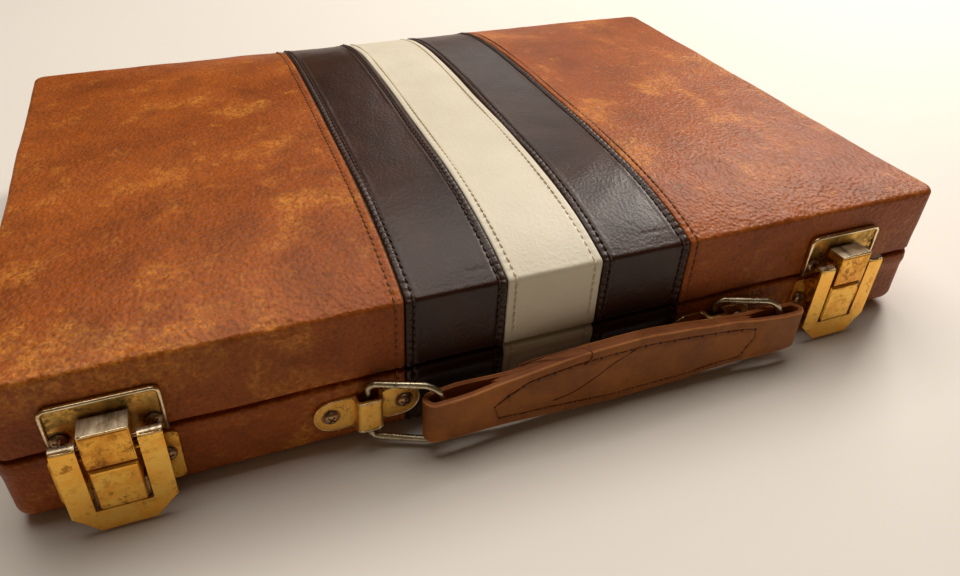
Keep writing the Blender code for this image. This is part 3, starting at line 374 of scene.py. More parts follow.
FINISHES = {
    "brown": brown_leatherette(),
    "dark": dark_leatherette(),
    "cream": cream_leatherette(),
    "brown_thread": thread("brown_thread", (0.32, 0.125, 0.042), (0.15, 0.052, 0.019)),
    "dark_thread": thread("dark_thread", (0.10, 0.055, 0.038), (0.014, 0.008, 0.006)),
    "cream_thread": thread("cream_thread", (0.82, 0.72, 0.54), (0.60, 0.46, 0.30)),
    **brasses(),
    "strap": saddle_leather("handle_face_leather", (0.39, 0.125, 0.012), (0.20, 0.054, 0.006)),
    # The handle's outer rounded rim: a lighter leather as a painted highlight along it.
    "strap_rim_highlight": saddle_leather("handle_rim_painted_highlight", (0.62, 0.25, 0.075), (0.36, 0.115, 0.028), True),
    "strap_edge": saddle_leather("handle_cut_edge", (0.34, 0.110, 0.034), (0.20, 0.056, 0.016), True),
    "strap_thread": thread("strap_thread", (0.30, 0.095, 0.032), (0.15, 0.042, 0.014)),
    "field": felt("field_felt", (0.13, 0.055, 0.026), (0.055, 0.021, 0.010)),
    "light_point": felt("light_point_felt", (0.66, 0.58, 0.42), (0.46, 0.38, 0.25)),
    "dark_point": felt("dark_point_felt", (0.035, 0.016, 0.012), (0.012, 0.006, 0.005)),
    "wood": varnished_wood("varnished_walnut"),
    "light_checker": marbled("marbled_ivory", (0.74, 0.66, 0.48), (0.50, 0.40, 0.24)),
    "dark_checker": marbled("marbled_brown", (0.13, 0.035, 0.016), (0.028, 0.008, 0.005)),
    "lining": felt("cup_lining_felt", (0.22, 0.13, 0.07), (0.10, 0.055, 0.03)),
    "foam": foam_material(),
}


# ---------------------------------------------------------------- mesh helpers


def shown(name, points, faces, finish, body, slot, smooth=True, finishes=(), face_finish=None):
    """An object of the scene from points in millimetres, riding on its body."""
    mesh = bpy.data.meshes.new(name)
    mesh.from_pydata((np.asarray(points, float) * MM).tolist(), [], [list(map(int, f)) for f in faces])
    for key in (finish, *finishes):
        mesh.materials.append(FINISHES[key])
    if face_finish is not None:
        mesh.polygons.foreach_set("material_index", np.asarray(face_finish, np.int32))
    mesh.polygons.foreach_set("use_smooth", np.full(len(mesh.polygons), smooth))
    mesh.update()
    obj = bpy.data.objects.new(name, mesh)
    bpy.context.scene.collection.objects.link(obj)
    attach(obj, body)
    return obj


def modify(obj, kind, **settings):
    modifier = obj.modifiers.new(kind.lower(), kind)
    for key, value in settings.items():
        setattr(modifier, key, value)
    return modifier


def bevel(obj, width, segments=2, angle=35):
    settings = {"limit_method": "ANGLE", "angle_limit": math.radians(angle)}
    modify(obj, "BEVEL", width=width * MM, segments=segments, **settings)


def soften(obj, width, segments=2):
    """Rounded edges on a hard part, with clean shading."""
    modify(obj, "WELD", merge_threshold=0.01 * MM)
    bevel(obj, width, segments)
    modify(obj, "WEIGHTED_NORMAL", keep_sharp=False)


def applied(obj):
    """The object's mesh with its modifiers applied to it."""
    graph = bpy.context.evaluated_depsgraph_get()
    mesh = bpy.data.meshes.new_from_object(obj.evaluated_get(graph))
    obj.modifiers.clear()
    obj.data = mesh
    return obj


def vertex_normals(points, faces):
    """Area-weighted vertex normals of a mesh of quads and triangles."""
    normals = np.zeros_like(points)
    for size in (3, 4):
        some = np.array([f for f in faces if len(f) == size])
        if len(some):
            a, b, c = (points[some[:, i]] for i in (0, 1, 2))
            d = points[some[:, -1]]
            face_normals = np.cross(c - a, d - b) if size == 4 else np.cross(b - a, c - a)
            for i in range(size):
                np.add.at(normals, some[:, i], face_normals)
    return normals / np.maximum(np.linalg.norm(normals, axis=1, keepdims=True), 1e-12)


def waves(points, seed, length, count=10):
    """A smooth, repeatable undulation of about unit size with that wavelength."""
    random = np.random.default_rng(seed)
    total = np.zeros(len(points))
    for _ in range(count):
        direction = random.normal(size=3)
        direction *= 2 * math.pi / (length * random.uniform(0.7, 1.6) * np.linalg.norm(direction))
        total += np.sin(points @ direction + random.uniform(0, 2 * math.pi))
    return total / math.sqrt(count)


def strips(count, sides, closed=False):
    """Quads from each ring of points to the next."""
    faces = []
    for i in range(count if closed else count - 1):
        here, there = i * sides, (i + 1) % count * sides
        for k in range(sides):
            m = (k + 1) % sides
            faces.append((here + k, here + m, there + m, there + k))
    return faces


def caps(count, sides):
    """The faces that close the first ring and the last."""
    return [tuple(reversed(range(sides))), tuple((count - 1) * sides + k for k in range(sides))]


def arc(centre, radius, start, end, steps):
    """Points of an arc in a plane, its angles in degrees."""
    return [
        (centre[0] + radius * math.cos(a), centre[1] + radius * math.sin(a))
        for a in np.radians(np.linspace(start, end, steps + 1))
    ]


def tube(path, radius, sides=12, closed=False, flatten=1.0, up=(0, 0, 1)):
    """Points and faces of a tube along a path."""
    path = np.asarray(path, float)
    following = np.roll(path, -1, 0) if closed else np.vstack([path[1:], 2 * path[-1] - path[-2]])
    previous = np.roll(path, 1, 0) if closed else np.vstack([2 * path[0] - path[1], path[:-1]])
    tangent = following - previous
    tangent /= np.linalg.norm(tangent, axis=1, keepdims=True)
    across = np.cross(tangent, np.asarray(up, float))
    across /= np.maximum(np.linalg.norm(across, axis=1, keepdims=True), 1e-9)
    above = np.cross(across, tangent)
    points = []
    for place, level, rise in zip(path, across, above):
        for turn in np.linspace(0, 2 * math.pi, sides, endpoint=False):
            points.append(place + radius * (math.cos(turn) * level + flatten * math.sin(turn) * rise))
    return np.array(points), strips(len(path), sides, closed) + ([] if closed else caps(len(path), sides))


def wire(path, radius, sides=10):
    """A tube along a path that keeps to an upright plane."""
    return tube(path, radius, sides, up=(0, 1, 0))


def turned(profile, segments, axis_point, axis="X", sign=1):
    """A lathed body: profile of (radius, along) about an axis through a point."""
    points = []
    for radius, along in profile:
        for k in range(segments):
            turn = 2 * math.pi * k / segments
            u, v = radius * math.cos(turn), radius * math.sin(turn)
            local = {"X": (sign * along, u, v), "Y": (u, sign * along, v)}[axis]
            points.append(np.array(axis_point) + local)
    return np.array(points), strips(len(profile), segments)


def joined(parts):
    """One list of points and faces from several."""
    points, faces, start = [], [], 0
    for some, its_faces in parts:
        points.append(np.asarray(some, float))
        faces += [tuple(i + start for i in f) for f in its_faces]
        start += len(some)
    return np.vstack(points), faces


def merged(obj, distance, outwards=False):
    """Merges points that fell together, and turns every face outwards where asked."""
    bm = bmesh.new()
    bm.from_mesh(obj.data)
    bmesh.ops.remove_doubles(bm, verts=bm.verts, dist=distance * MM)
    if outwards:
        bmesh.ops.dissolve_degenerate(bm, edges=bm.edges, dist=0.002 * MM)
        bmesh.ops.recalc_face_normals(bm, faces=bm.faces)
    bm.to_mesh(obj.data)
    bm.free()
    return obj


def solid(name, mesh, finish, body, slot, merge=0.02, smooth=True):
    """A shown piece, its points merged and every face turned outwards."""
    return merged(shown(name, *mesh, finish, body, slot, smooth), merge, outwards=True)


# ---------------------------------------------------------------- covering


def crown(x, y):
    """How far the padded lid stands above its edges."""
    across = np.clip(np.abs(x) / (CASE_X - LID_RADIUS), 0, 1)
    along = np.clip(np.abs(y) / (CASE_Y - LID_RADIUS), 0, 1)
    return (LID_PEAK - LID_EDGE) * (1 - across**2) * (1 - along**4)


def seam_relief(points, seed, mid_depth, puff=1.0):
    """Height of the covering beside a sewn seam: folded edge, puffed ridge, pulled-down stitch line."""
    x, y, z = points.T
    distance = np.min([np.abs(x - seam) for seam in SEAMS], axis=0) - SEAM_GAP
    run = np.where(y < 0, -1, 1) * (np.abs(y) + np.maximum(mid_depth - z, 0) * (np.abs(y) > CASE_Y - 3.5))
    phase = np.cos(2 * math.pi * run / STITCH_PITCH)
    uneven = 1 + 0.25 * waves(points, seed, 23)
    fold = 0.7
    edge = np.clip(distance / fold, 0, 1)
    height = -(fold - np.sqrt(fold**2 - (fold * (1 - edge)) ** 2 + 1e-9))
    height += puff * (0.40 - 0.26 * phase) * uneven * np.exp(-(((distance - 1.5) / 1.0) ** 2))
    height += -(0.22 + 0.16 * phase) * (0.4 + 0.6 * puff) * np.exp(-(((distance - STITCH_INSET) / 0.5) ** 2))
    height += 0.12 * puff * uneven * np.exp(-(((distance - 4.7) / 0.9) ** 2))
    return np.where(distance < 12, height, 0)


def graded(start, end, fine_until=6.0, first=(0, 0.12, 0.32, 0.6)):
    """Places from start to end, close together near start and further apart beyond."""
    length = abs(end - start)
    steps = [s for s in first if s < length]
    while steps[-1] < length:
        last = steps[-1]
        growth = 1.25 ** ((last - fine_until) / 1.2)
        steps.append(last + (FINE_STEP if last < fine_until else min(FINE_STEP * growth, 2.0)))
    steps = steps[:-1] if length - steps[-2] < 0.6 * (steps[-1] - steps[-2]) else steps
    steps = np.array(steps[:-1] if steps[-1] > length else steps)
    steps = np.append(steps[steps < length - 0.05], length)
    return start + math.copysign(1, end - start) * steps


def columns(piece):
    """X places of one sewn piece, and whether it has the left or right end of the case."""
    i = PIECES.index(piece)
    low = -(CASE_X - CORNER) if i == 0 else SEAMS[i - 1] + SEAM_GAP
    high = CASE_X - CORNER if i == 4 else SEAMS[i] - SEAM_GAP
    corner = np.linspace(0, CORNER - LID_RADIUS, CORNER_CELLS + 1)[1:]
    if i == 0:
        return np.concatenate([low - corner[::-1], graded(high, low)[::-1]]), -1
    if i == 4:
        return np.concatenate([graded(low, high), high + corner]), 1
    middle = (low + high) / 2
    return np.concatenate([graded(low, middle), graded(high, middle)[::-1][1:]]), 0


def outline_path(xs, ys, end):
    """The piece's boundary, counter-clockwise: grid places (i, j), cores and outward directions."""
    n, m = len(xs), len(ys)
    front = [(i, 0) for i in range(n)]
    back = [(i, m - 1) for i in reversed(range(n))]
    if end > 0:
        paths = [front + [(n - 1, j) for j in range(1, m - 1)] + back]
    elif end < 0:
        paths = [back + [(0, j) for j in reversed(range(1, m - 1))] + front]
    else:
        paths = [front, back]
    core_x, core_y = CASE_X - CORNER, CASE_Y - CORNER
    made = []
    for path in paths:
        cores, directions = [], []
        for i, j in path:
            x, y = xs[i], ys[j]
            over_x = max(abs(x) - core_x, 0) if end else 0
            over_y = max(abs(y) - core_y, 0)
            if over_x == 0 and j in (0, m - 1):
                direction = np.array([0, math.copysign(1, y)])
            elif over_y == 0:
                direction = np.array([math.copysign(1, x), 0])
            else:
                direction = np.array([math.copysign(over_x, x), math.copysign(over_y, y)])
                direction = direction / np.linalg.norm(direction)
            cores.append((np.clip(x, -core_x, core_x), np.clip(y, -core_y, core_y)))
            directions.append(direction)
        made.append((path, np.array(cores), np.array(directions)))
    return made


def ring(cores, directions, inset):
    """The boundary moved in by inset, in plan."""
    radius = max(CORNER - inset, 0.3)
    limit = np.array([CASE_X - inset - radius, CASE_Y - inset - radius])
    return np.clip(cores, -limit, limit) + directions * radius


def row_places(low, high, step=ROW_STEP):
    return np.linspace(low, high, max(2, round(abs(high - low) / step) + 1))


def hinge_relief(points, half):
    """Lowers the lip at the back, where the hinge leaf lies on the rail."""
    x, y, z = points.T
    near = (np.abs(x) < CASE_X - 12) & (y > CASE_Y - 13)
    edge = BASE_TOP if half == "base" else LID_UNDER
    share = np.clip(1 - (np.abs(z - edge) - 3) / 8, 0, 1)
    shift = 1.45 * share * near
    points[:, 2] += -shift if half == "base" else shift
    return points


def lid_skin(piece):
    xs, end = columns(piece)
    core_y = CASE_Y - CORNER
    corner = np.linspace(core_y, CASE_Y - LID_RADIUS, CORNER_CELLS + 1)
    ys = np.concatenate([-corner[::-1], row_places(-core_y, core_y)[1:-1], corner])
    grid_x, grid_y = np.meshgrid(xs, ys, indexing="ij")
    if end:
        core_x = CASE_X - CORNER
        u, v = np.maximum(np.abs(grid_x) - core_x, 0), np.maximum(np.abs(grid_y) - core_y, 0)
        length = np.maximum(np.hypot(u, v), 1e-9)
        shrink = np.where((u > 0) & (v > 0), np.maximum(u, v) / length, 1.0)
        grid_x = np.where(u > 0, np.sign(grid_x) * (core_x + u * shrink), grid_x)
        grid_y = np.where(v > 0, np.sign(grid_y) * (core_y + v * shrink), grid_y)
    n, m = grid_x.shape
    top = np.stack([grid_x, grid_y, LID_EDGE + crown(grid_x, grid_y)], -1).reshape(-1, 3)
    faces = [
        (i * m + j, (i + 1) * m + j, (i + 1) * m + j + 1, i * m + j + 1) for i in range(n - 1) for j in range(m - 1)
    ]
    parts, start = [top], len(top)
    for path, cores, directions in outline_path(xs, ys, end):
        previous = [i * m + j for i, j in path]
        plan = ring(cores, directions, LID_RADIUS)
        inner = ring(cores, directions, LID_RADIUS + 0.5)
        slope = np.arctan2(crown(inner[:, 0], inner[:, 1]) - crown(plan[:, 0], plan[:, 1]), 0.5)
        rows = []
        for share in np.linspace(0, 1, 8)[1:]:
            angle = slope + (math.pi / 2 - slope) * share
            inset = LID_RADIUS * (1 - np.sin(angle))
            radius = CORNER - inset
            plan = cores + directions * radius[:, None]
            rows.append(np.column_stack([plan, LID_EDGE - LID_RADIUS + LID_RADIUS * np.cos(angle)]))
        lip = LID_UNDER + PARTING_RISE
        profile = [(0.0, z) for z in row_places(LID_EDGE - LID_RADIUS, lip + LIP_RADIUS)[1:]]
        for angle in np.radians((30, 60, 90)):
            profile.append((LIP_RADIUS * (1 - math.cos(angle)), lip + LIP_RADIUS * (1 - math.sin(angle))))
        profile += [(2.6, lip), (LEDGE_INSET, lip), (LEDGE_INSET + 0.5, LID_UNDER)]
        profile += [(inset, LID_UNDER) for inset in (6.4, 8.2, CAVITY_INSET)]
        for inset, z in profile:
            plan = ring(cores, directions, inset)
            rows.append(np.column_stack([plan, np.full(len(plan), z)]))
        for row in rows:
            parts.append(row)
            current = list(range(start, start + len(row)))
            start += len(row)
            faces += [(a, b, d, c) for a, b, c, d in zip(current, current[1:], previous, previous[1:])]
            previous = current
    return np.vstack(parts), faces


def base_skin(piece):
    xs, end = columns(piece)
    corner = np.linspace(CASE_Y - CORNER, CASE_Y - LID_RADIUS, CORNER_CELLS + 1)
    ys = np.concatenate([-corner[::-1], row_places(-CASE_Y + CORNER, CASE_Y - CORNER, 1.6)[1:-1], corner])
    r = BASE_LIP_RADIUS
    ledge = BASE_TOP - PARTING_LEDGE
    profile = [(inset, BASE_TOP) for inset in (CAVITY_INSET, 8.2, 6.4, LEDGE_INSET + 0.6)]
    profile += [(LEDGE_INSET, ledge), (2.8, ledge)]
    for a in np.radians((0, 18, 36, 54, 72, 90)):
        profile.append((r * (1 - math.sin(a)), ledge - r * (1 - math.cos(a))))
    profile += [(0.0, z) for z in row_places(ledge - r, BASE_UNDER + BASE_RADIUS)[1:]]
    profile += [
        (BASE_RADIUS * (1 - math.cos(a)), BASE_UNDER + BASE_RADIUS * (1 - math.sin(a)))
        for a in np.radians(np.linspace(0, 90, 11)[1:])
    ]
    under = np.arange(BASE_RADIUS + 3, CASE_Y, 4.0) if end == 0 else (9.0, 11.5, HEM)
    profile += [(inset, BASE_UNDER) for inset in under] + ([(CASE_Y - 0.001, BASE_UNDER)] if end == 0 else [])
    parts, faces, start = [], [], 0
    for _, cores, directions in outline_path(xs, ys, end):
        previous = None
        for inset, z in profile:
            if end == 0:
                plan = np.column_stack([cores[:, 0], directions[:, 1] * (CASE_Y - inset)])
            else:
                plan = ring(cores, directions, inset)
            parts.append(np.column_stack([plan, np.full(len(plan), z)]))
            current = list(range(start, start + len(plan)))
            start += len(plan)
            if previous:
                faces += [(a, b, d, c) for a, b, c, d in zip(current, current[1:], previous, previous[1:])]
            previous = current
    return np.vstack(parts), faces


def base_roll(points):
    """The soft roll of padding under the covering along the base's upper edge."""
    x, y, z = points.T
    outside = np.clip(1 - np.minimum(CASE_X - np.abs(x), CASE_Y - np.abs(y)) / 3, 0, 1)
    return 0.75 * outside * np.exp(-(((z - (BASE_TOP - 4.6)) / 2.8) ** 2))


def creases(points):
    """Bumps and pulls along the lid's front upper edge and across the strips near it."""
    x, y, z = points.T
    height = np.zeros(len(points))
    for at_x, at_y, wide, deep, size in (
        (-141, -124.5, 3.0, 2.2, 0.9),
        (-134, -125, 2.2, 1.8, 0.7),
        (-98, -125, 5.0, 2.0, -0.5),
        (110, -124, 4.0, 2.5, 0.6),
        (117, -125, 2.0, 2.0, -0.5),
        (-24, -119, 6.0, 0.8, -0.16),
        (-36, -113, 4.0, 0.7, 0.12),
        (50, -118, 7.0, 0.8, -0.14),
    ):
        height += size * np.exp(-(((x - at_x) / wide) ** 2) - ((y - at_y) / deep) ** 2) * (z > LID_EDGE - 4)
    # Fine slanting wrinkles where the covering is pulled over the front edge.
    slant = waves(np.column_stack([x + 0.7 * y, 0.25 * (y - x), 0 * z]), 77, 5.5, 14)
    strength = np.where(np.abs(x - 13) < 75, 0.03, 0.10) * np.exp(-(((y + 108) / 12) ** 2))
    return height + strength * np.maximum(slant, 0) * (z > LID_EDGE - 1)


def make_covering(half):
    build = lid_skin if half == "lid" else base_skin
    reference = LID_EDGE if half == "lid" else BASE_TOP
    for number, piece in enumerate(PIECES):
        points, faces = build(piece)
        normals = vertex_normals(points, faces)
        kind = piece.split("_")[1] if piece.startswith("strip") else "brown"
        height = seam_relief(points, 11 + number, reference, PUFF[kind])
        height += 0.16 * waves(points, 31 + number, 52) + 0.05 * waves(points, 51 + number, 14)
        height += creases(points) if half == "lid" else base_roll(points)
        # The lip inside the parting line stays flat, so that both halves close.
        inside = np.minimum(CASE_X - np.abs(points[:, 0]), CASE_Y - np.abs(points[:, 1]))
        at_parting = np.abs(points[:, 2] - (LID_UNDER if half == "lid" else BASE_TOP)) < 1.0
        height = np.where(at_parting & (inside > 0.6), np.minimum(height, 0) * 0.3, height)
        under = (half == "base") & (points[:, 2] < BASE_UNDER + 0.5)
        height = np.where(under, height * 0.3, height)
        points = hinge_relief(points + normals * height[:, None], half)
        name = f"{half}_{piece}_skin"
        obj = shown(name, points, faces, kind, half, f"{kind}_leatherette")
        modify(merged(obj, 0.02), "SOLIDIFY", thickness=SKIN * MM, offset=-1.0)
        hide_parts(f"{half}_{piece}")


def capsule(sides=6):
    """A stitch of unit length and radius: points (along, across, above) and faces."""
    half = [(-0.5, 0.35, -1.1), (-0.42, 0.8, -0.5), (-0.25, 1.0, 0.1)]
    stations = [*half, (0, 1.05, 0.25), *((-along, size, lift) for along, size, lift in reversed(half))]
    turns = [2 * math.pi * k / sides for k in range(sides)]
    points = []
    for along, size, lift in stations:
        points += [(along, size * math.cos(t), size * math.sin(t) + lift) for t in turns]
    return np.array(points), strips(len(stations), sides) + caps(len(stations), sides)


def section_point(half, x, run):
    """A place on the undisplaced covering at that X and distance along the seam, and its normal."""
    sign, far = math.copysign(1, run), abs(run)
    if half == "lid" and far <= CASE_Y - LID_RADIUS:
        slope = float(crown(x, run + 0.5) - crown(x, run - 0.5))
        normal = np.array([0, -slope, 1.0])
        return np.array([x, run, LID_EDGE + float(crown(x, run))]), normal / np.linalg.norm(normal)
    top = LID_EDGE if half == "lid" else BASE_TOP
    round_end = CASE_Y + LID_RADIUS
    if half == "lid" and far < round_end:
        angle = math.radians(90 * (far - (CASE_Y - LID_RADIUS)) / (2 * LID_RADIUS))
        y = CASE_Y - LID_RADIUS + LID_RADIUS * math.sin(angle)
        z = top - LID_RADIUS + LID_RADIUS * math.cos(angle)
        return np.array([x, sign * y, z]), np.array([0, sign * math.sin(angle), math.cos(angle)])
    return np.array([x, sign * CASE_Y, top - (far - CASE_Y)]), np.array([0, sign, 0.0])


def make_stitches(half):
    unit, unit_faces = capsule()
    random = np.random.default_rng(5 if half == "lid" else 6)
    kinds = ["brown", "dark", "cream", "dark", "brown"]
    parts = {"brown": [], "dark": [], "cream": []}
    if half == "lid":
        last = math.floor((CASE_Y + LID_EDGE - LID_UNDER - 2.4) / STITCH_PITCH)
        runs = np.arange(-last, last + 1) * STITCH_PITCH
    else:
        steps = np.arange(CASE_Y + 2.6, CASE_Y + BASE_TOP - BASE_UNDER - BASE_RADIUS + 1, STITCH_PITCH)
        runs = np.concatenate([-steps[::-1], steps])
    reference = LID_EDGE if half == "lid" else BASE_TOP
    for (index, seam), side in itertools.product(enumerate(SEAMS), (-1, 1)):
        kind = kinds[index + (side > 0)]
        for run in runs:
            x = seam + side * (STITCH_INSET + SEAM_GAP)
            place, normal = section_point(half, x, run + STITCH_PITCH / 2)
            height = float(seam_relief(place[None, :], 11, reference, PUFF[kind])[0])
            if half == "base":
                height += float(base_roll(place[None, :])[0])
            across = np.array([1.0, 0, 0])
            tangent = np.cross(normal, across)
            lean = random.uniform(-0.09, 0.09)
            tangent, across = tangent + lean * across, across - lean * tangent
            size = random.uniform(0.92, 1.06)
            along = unit[:, :1] * STITCH_LENGTH * size * tangent
            points = along + STITCH_RADIUS * (unit[:, 1:2] * across + unit[:, 2:] * 0.8 * normal)
            parts[kind].append((points + place + normal * (height + 0.16), unit_faces))
    for kind, some in parts.items():
        mesh = joined(some)
        solid(f"{half}_{kind}_stitching", mesh, f"{kind}_thread", half, f"{kind}_leatherette", 0.001)


def make_padding():
    """The foam under the lid's covering: domed above, flat where it lies on the panel."""
    low, high = box_mm("lid_padding")
    xs = row_places(low[0] + 2.2, high[0] - 2.2, 5)
    ys = row_places(low[1] + 2.2, high[1] - 2.2, 5)
    grid_x, grid_y = np.meshgrid(xs, ys, indexing="ij")
    n, m = grid_x.shape
    tops = LID_EDGE + crown(grid_x, grid_y) - 2.5
    points = np.vstack([
        np.stack([grid_x, grid_y, tops], -1).reshape(-1, 3),
        np.stack([grid_x, grid_y, np.full_like(tops, low[2])], -1).reshape(-1, 3),
    ])
    shift = n * m
    faces = []
    for i in range(n - 1):
        for j in range(m - 1):
            a, b, c, d = i * m + j, (i + 1) * m + j, (i + 1) * m + j + 1, i * m + j + 1
            faces += [(a, b, c, d), (d + shift, c + shift, b + shift, a + shift)]
    border = [(i, 0) for i in range(n)] + [(n - 1, j) for j in range(1, m)]
    border += [(i, m - 1) for i in reversed(range(n - 1))] + [(0, j) for j in reversed(range(1, m - 1))]
    loop = [i * m + j for i, j in border]
    faces += [(a + shift, b + shift, b, a) for a, b in zip(loop, loop[1:] + loop[:1])]
    pad = shown("lid_foam_pad", points, faces, "foam", "lid", "foam")
    bevel(pad, 0.6, angle=50)
    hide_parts("lid_padding")


# ---------------------------------------------------------------- hardware


PLATE_THICKNESS = 1.3
HOUSING_DEPTH = 9.6
RING_WIRE = 1.3


def centre_x(node):
    low, high = box_mm(node)
    return (low[0] + high[0]) / 2


def finish_node(node, finish, width, segments=2):
    """A better finish on a CAD node, with its edges softened."""
    obj = frame["nodes"][node]
    for index in range(len(obj.data.materials)):
        obj.data.materials[index] = FINISHES[finish]
    soften(obj, width, segments)


def rounded_path(low, high, radius):
    """A rounded rectangle in plan, counter-clockwise."""
    left, right, bottom, top = low[0] + radius, high[0] - radius, low[1] + radius, high[1] - radius
    corners = ((right, bottom), -90), ((right, top), 0), ((left, top), 90), ((left, bottom), 180)
    return [point for centre, start in corners for point in arc(centre, radius, start, start + 90, 6)]


def bead(name, path_xz, y, radius, finish, body, closed=True, flatten=0.8):
    """A rounded rim laid on a face."""
    path = [(px, y, pz) for px, pz in path_xz]
    solid(name, tube(path, radius, 10, closed, flatten, (0, 1, 0)), finish, body, "brass")


def panel(name, low, high, y_back, y_front, radius, finish, body, dish):
    """A plate standing on a face, with rounded corners and a slightly dished front."""
    outline = np.array(rounded_path(low, high, radius))
    centre = (np.array(low) + np.array(high)) / 2
    rings = [(1.0, y_back), (1.0, y_front + 0.35), (0.985, y_front + 0.1), (0.955, y_front)]
    rings += [(share, y_front + dish * (1 - share**2)) for share in (0.8, 0.55, 0.3)]
    points = []
    for share, y in rings:
        plan = centre + (outline - centre) * share
        points += [(u, y, v) for u, v in plan]
    count = len(outline)
    faces = strips(len(rings), count)
    last = (len(rings) - 1) * count
    faces += [(last + k, last + (k + 1) % count, len(points)) for k in range(count)]
    faces.append(tuple(reversed(range(count))))
    points.append((centre[0], y_front + dish, centre[1]))
    solid(name, (points, faces), finish, body, "brass")


def make_latch(side):
    finishes = {"keeper": "keeper", "base_plate": "block", "lever": "lever", "claw": "claw"}
    for piece, finish in finishes.items():
        finish_node(f"latch_{piece}_{side}", finish, 0.3 if piece == "lever" else 0.22, 3)
    finish_node(f"latch_pivot_pin_{side}", "screw", 0.15)
    make_keeper(side)
    make_lever(side)
    make_claw(side)
    x = centre_x(f"latch_keeper_{side}")
    low_z, high_z = box_mm(f"latch_base_plate_{side}")[0][2] + 2.9, BASE_TOP - 2.5
    front = -CASE_Y - HOUSING_DEPTH
    panel(
        f"housing_panel_{side}", (x - 7.2, low_z + 0.4), (x + 7.2, high_z - 0.6),
        front + 0.4, front - 0.22, 0.6, "block", "base", 0.12,
    )
    # The dark bed beside and below the housing, seen through the lever's window.
    panel(
        f"housing_bed_{side}", (x - 8.8, low_z - 0.6), (x + 8.8, low_z + 9.0),
        front + 8.0, front + 1.6, 0.5, "screw", "base", 0.05,
    )


def make_keeper(side):
    """The rim round the keeper, and the pressed cup round each of its screws."""
    low, high = box_mm(f"latch_keeper_{side}")
    x, half = (low[0] + high[0]) / 2, (high[0] - low[0]) / 2 - 0.7
    face = -CASE_Y - PLATE_THICKNESS
    radius = 2.4
    top = high[2] - 0.7 - radius
    rim = [(x + half, low[2] + 0.4), (x + half, low[2] + 8)]
    rim += arc((x + half - radius, top), radius, 0, 90, 6) + arc((x - half + radius, top), radius, 90, 180, 6)
    rim += [(x - half, low[2] + 8), (x - half, low[2] + 0.4)]
    bead(f"keeper_rim_{side}", rim, face - 0.1, 0.8, "rim", "lid", closed=False, flatten=0.9)
    for end in "ab":
        at = sum(box_mm(f"keeper_screw_{side}_{end}")) / 2
        circle = arc((at[0], at[2]), 3.3, 0, 360, 32)[:-1]
        bead(f"keeper_cup_{side}_{end}", circle, face + 0.05, 0.34, "screw", "lid")


def make_lever(side):
    low, high = box_mm(f"latch_lever_{side}")
    x, body = centre_x(f"latch_keeper_{side}"), f"lever_{side}"
    # The pale rolled rim along each arm's top, dipped towards the middle.
    inner, outer = 9.1, 16.75
    for sign, word in ((-1, "a"), (1, "b")):
        path = []
        for share in np.linspace(-1, 1, 15):
            u = x + sign * (inner + outer) / 2 + share * ((outer - inner) / 2 - 0.45)
            dip = 1 - share**2
            path.append((u, low[1] + 1.0 + 0.25 * dip, high[2] - 0.35 - 0.6 * dip))
        solid(f"lever_rim_{side}_{word}", wire(path, 0.32), "rim", body, "brass")
    # The turned lip at the lever's foot.
    foot = []
    for u in np.linspace(-8.6, 8.6, 17):
        foot.append((x + u, low[1] + 0.75 + 0.25 * math.cos(u / 9 * math.pi / 2), low[2] + 0.45))
    solid(f"lever_lip_{side}", wire(foot, 0.62), "lever", body, "brass")


def make_claw(side):
    low, high = box_mm(f"latch_claw_{side}")
    x, body = centre_x(f"latch_keeper_{side}"), f"claw_{side}"
    half = min((high[0] - low[0]) / 2, 7.6)
    panel(
        f"claw_front_panel_{side}", (x - half + 0.35, low[2] + 0.35), (x + half - 0.35, high[2] - 0.9),
        low[1] + 0.3, low[1] - 0.22, 0.6, "claw", body, 0.14,
    )
    edge = [(x + u, low[1] + 0.15, high[2] - 0.28) for u in np.linspace(-half + 0.4, half - 0.4, 13)]
    solid(f"claw_rim_{side}", wire(edge, 0.36), "rim", body, "brass")


def cross_head():
    """A domed screw head with a cross recess, its axis along -Y, the underside at the origin."""
    profile = [(0.001, 0.6), (2.2, 0.6), (2.2, 0.0), (2.9, 0.0), (2.86, -0.35)]
    profile += [(2.62, -0.85), (2.15, -1.25), (1.5, -1.5), (0.8, -1.62), (0.001, -1.65)]
    points, faces = turned(profile, 32, (0, 0, 0), "Y")
    mesh = bpy.data.meshes.new("cross_head")
    mesh.from_pydata((points * MM).tolist(), [], faces)
    head = bpy.data.objects.new("cross_head", mesh)
    bpy.context.scene.collection.objects.link(head)
    merged(head, 0.01, outwards=True)
    cutter_mesh = bpy.data.meshes.new("cross_cutter")
    bm = bmesh.new()
    for size in ((0.62, 1.6, 3.5), (3.5, 1.6, 0.62)):
        made = bmesh.ops.create_cube(bm, size=1.0)
        bmesh.ops.scale(bm, vec=Vector(size) * MM, verts=made["verts"])
        bmesh.ops.translate(bm, vec=Vector((0, -1.65 * MM, 0)), verts=made["verts"])
    bm.to_mesh(cutter_mesh)
    bm.free()
    cutter = bpy.data.objects.new("cross_cutter", cutter_mesh)
    bpy.context.scene.collection.objects.link(cutter)
    boolean = modify(head, "BOOLEAN", operation="DIFFERENCE", object=cutter, solver="EXACT", use_self=True)
    boolean.use_hole_tolerant = True
    bevel(head, 0.08, angle=40)
    bpy.context.view_layer.update()
    mesh = applied(head).data.copy()
    bpy.data.objects.remove(head)
    bpy.data.objects.remove(cutter)
    return mesh


